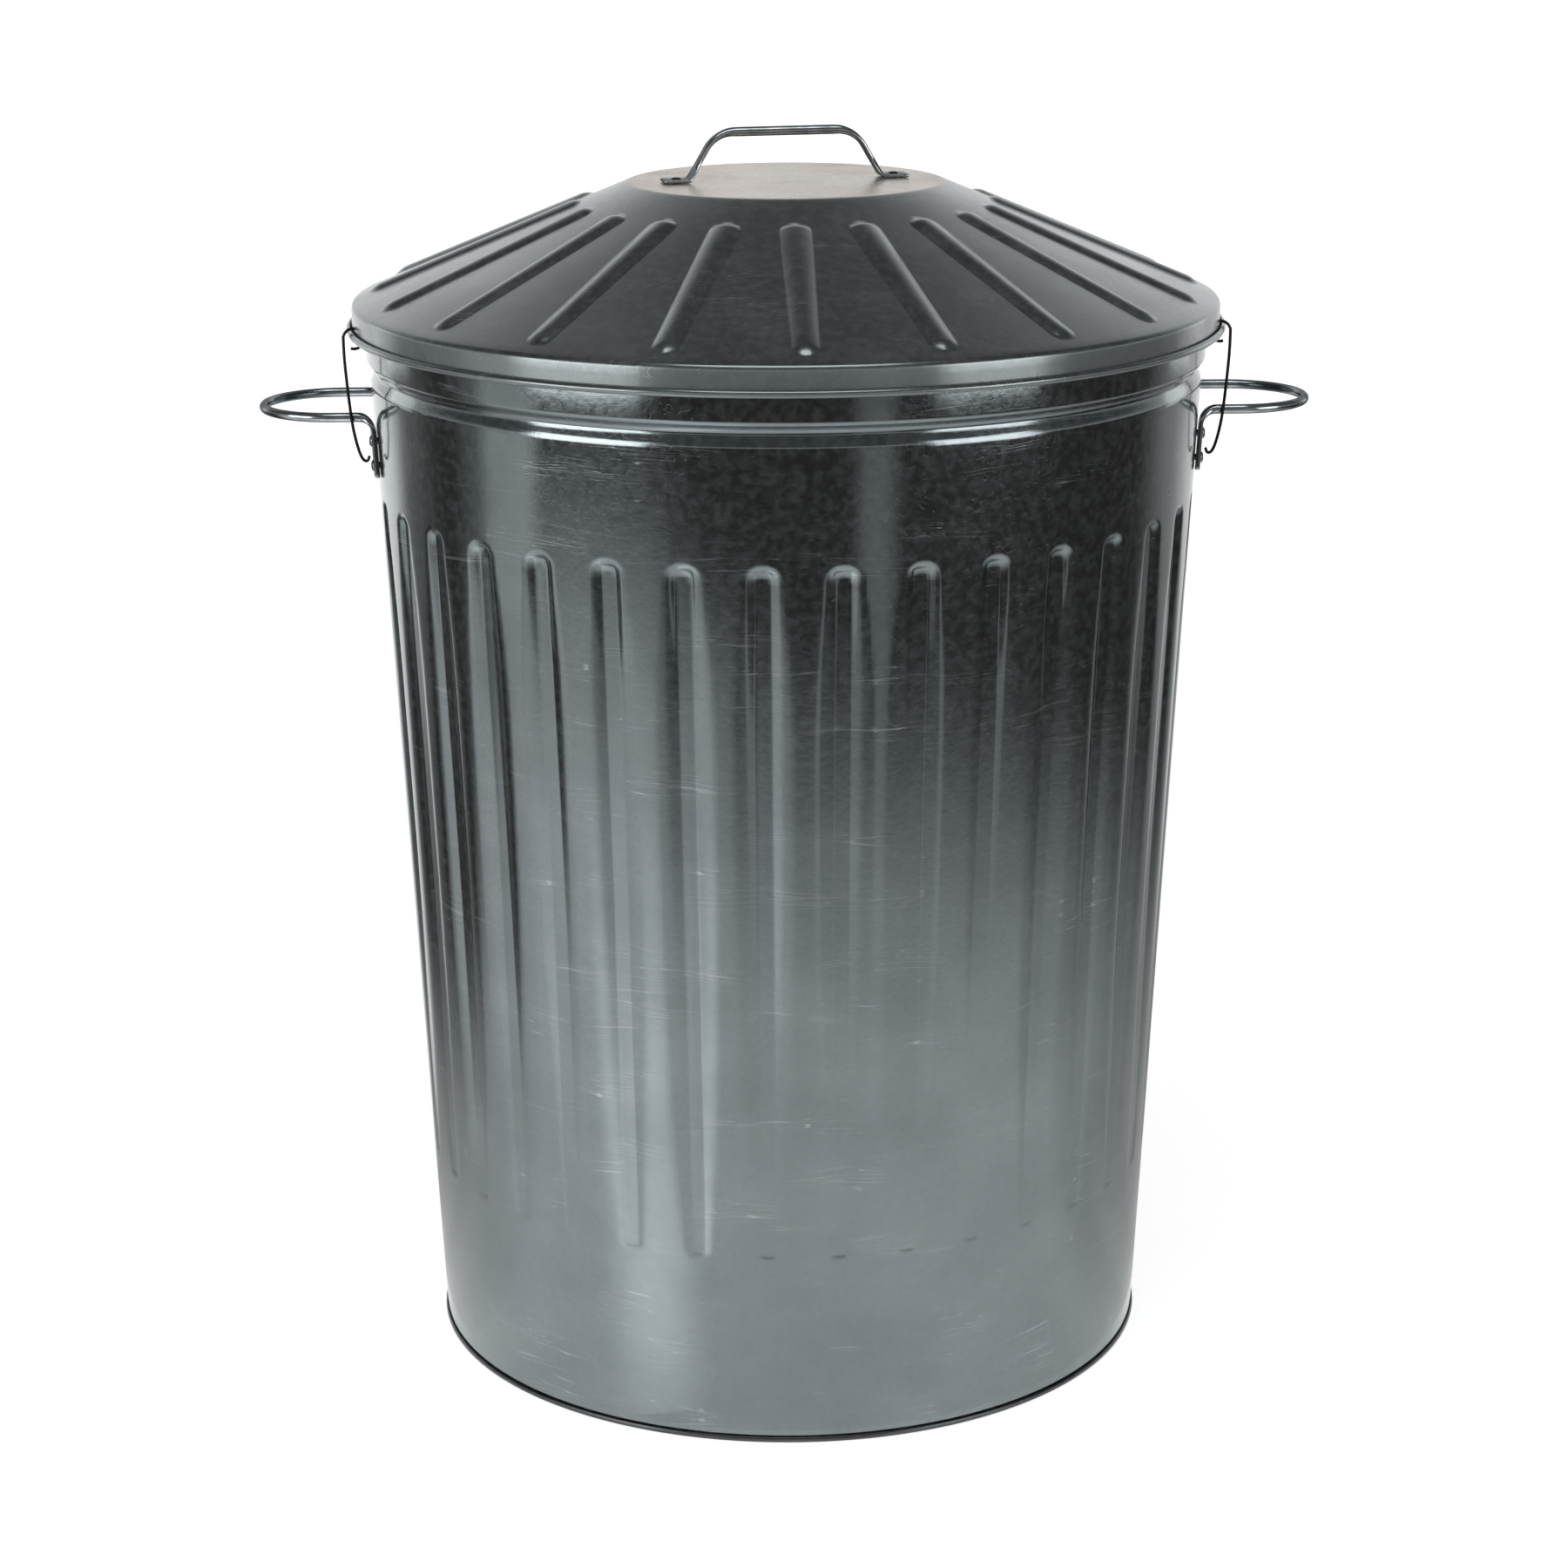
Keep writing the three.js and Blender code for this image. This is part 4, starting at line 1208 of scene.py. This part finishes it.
    def world(self) -> None:
        """Soft even light, and a background that is white near the horizon and dark overhead."""
        world = bpy.data.worlds.new("studio")
        bpy.context.scene.world = world
        tree = empty_tree(world)
        way = add_node(tree, "TexCoord", out="Generated")
        across = add_node(tree, "SeparateXYZ", links={0: way})
        _, deep, height = across.node.outputs
        behind = add_node(tree, "MapRange", {1: 0.4, 2: 0.8}, {0: deep})
        fades = []
        for low, high, near in ((20, 55, 1.0), (8, 14, 0.5), (2, 5, 1.0)):
            ends = {1: math.sin(math.radians(low)), 2: math.sin(math.radians(high)), 3: near}
            fades.append(add_node(tree, "MapRange", ends | {4: self.overhead}, {0: height}))
        back, front, horizon = fades
        front = add_node(tree, "Math", {"operation": "MAXIMUM"}, {0: front, 1: horizon})
        share = add_node(tree, "Mix", {"data_type": "FLOAT"}, {0: behind, 2: front, 3: back})
        seen = add_node(tree, "Background", {"Color": WHITE}, {"Strength": share})
        lit = add_node(tree, "Background", {"Color": WHITE, "Strength": 0.22})
        both = add_node(tree, "MixShader", links={0: self.background_rays(tree), 1: lit, 2: seen})
        add_node(tree, "OutputWorld", links={"Surface": both})

    def camera(self) -> None:
        """The camera, a little above the lid and almost in front of the bin."""
        distance, height, pitch, roll, yaw = 1.982, 0.8848, 0.2809, -0.0039, 0.001
        focal_length = 4141 / 1800  # in picture widths
        turn = Matrix.Rotation(math.radians(-1.9), 3, "Z")
        ahead = Vector((-math.sin(yaw) * math.cos(pitch), math.cos(yaw) * math.cos(pitch), -math.sin(pitch)))
        right = Vector((math.cos(yaw), math.sin(yaw), 0))
        above = right.cross(ahead)
        level_right = right * math.cos(roll) + above * math.sin(roll)
        level_up = above * math.cos(roll) - right * math.sin(roll)
        axes = turn @ Matrix((level_right, level_up, -ahead)).transposed()
        lens = bpy.data.cameras.new("camera")
        lens.sensor_width = 36.0
        lens.lens = lens.sensor_width * focal_length
        holder = bpy.data.objects.new("camera", lens)
        holder.matrix_world = Matrix.Translation(turn @ Vector((0, -distance, height))) @ axes.to_4x4()
        bpy.context.scene.collection.objects.link(holder)
        bpy.context.scene.camera = holder

    def build(self) -> None:
        """Sets up the room."""
        self.floor()
        self.surround()
        self.world()
        self.light_card()
        for lamp in (
            Softbox("left_softbox", -55, 2.7, 0.82, 1.6, 1.4, 34),
            Softbox("right_softbox", 51, 2.7, 0.82, 1.4, 1.4, 22),
            Softbox("rear_right_softbox", 128, 2.7, 0.6, 0.7, 1.0, 2),
            Softbox("rear_left_softbox", -128, 2.7, 0.6, 0.7, 1.0, 2),
            Softbox("top_softbox", 0, 0.7, 2.4, 1.3, 0.9, 10, 0.5),
        ):
            lamp.build()
        self.camera()
        bpy.context.scene.view_settings.view_transform = "Standard"
        LOG.info("studio ready")


# ---- The whole bin ----


def main() -> None:
    """Builds the bin, its lid and the studio, in order."""
    logging.basicConfig(level=logging.INFO, format="%(name)s: %(message)s")
    # Nearly new zinc: a clear, cool mirror with long scratches round the wall.
    wall_zinc = GalvanizedSheet(
        "galvanized_steel_wall", "7f8789", "737b7d", 0.125, scratches=0.3, wave_mm=0.2, rolled=True
    ).material()
    # Duller zinc, painted darker than the wall's as painted shade at the foot: a dark soft line there.
    base_zinc_painted_shade = GalvanizedSheet(
        "galvanized_steel_base", "565a5c", "424547", 0.32, scratches=0.2, wave_mm=0.1
    ).material()
    # Handled, weathered zinc: a blurred mirror, with beige dust on the level top.
    lid_zinc = GalvanizedSheet(
        "galvanized_steel_lid", "7d8486", "6f7678", 0.21, scratches=0.2, wave_mm=0.2, dust=0.7, grain=0.15
    ).material()
    # Bright plated rod: white and black lines along it. Its rivets are duller, those on the lid are dark.
    bright_rod = DrawnSteel("zinc_plated_rod", "a9aeb1", "868b8e", 0.17).material()
    rivet_steel = DrawnSteel("zinc_plated_rivet", "8f9497", "6a6f72", 0.3).material()
    aged_rivet = DrawnSteel("aged_steel_rivet", "58585a", "343436", 0.45).material()
    # Oil-blackened spring wire, nearly black, and bare grey-brown wire inside the curls.
    spring_wire = DrawnSteel("dark_spring_wire", "3a3634", "231f1e", 0.38).material()
    plain_wire = DrawnSteel("plain_steel_wire", "7b7875", "5d5855", 0.4).material()
    wall = Wall()
    wall.build(wall_zinc)
    Base().build(base_zinc_painted_shade)
    for side in Side:
        SideHandle(side, wall).build(bright_rod, rivet_steel)
    Lid().build(lid_zinc)
    LidHandle().build(bright_rod, aged_rivet)
    for side in Side:
        LidClip(side).build(spring_wire)
    for node in ("rim_wire", "lid_hem_wire"):
        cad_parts[node].data.materials.clear()
        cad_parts[node].data.materials.append(plain_wire)
    Studio().build()


if __name__ == "__main__":
    main()
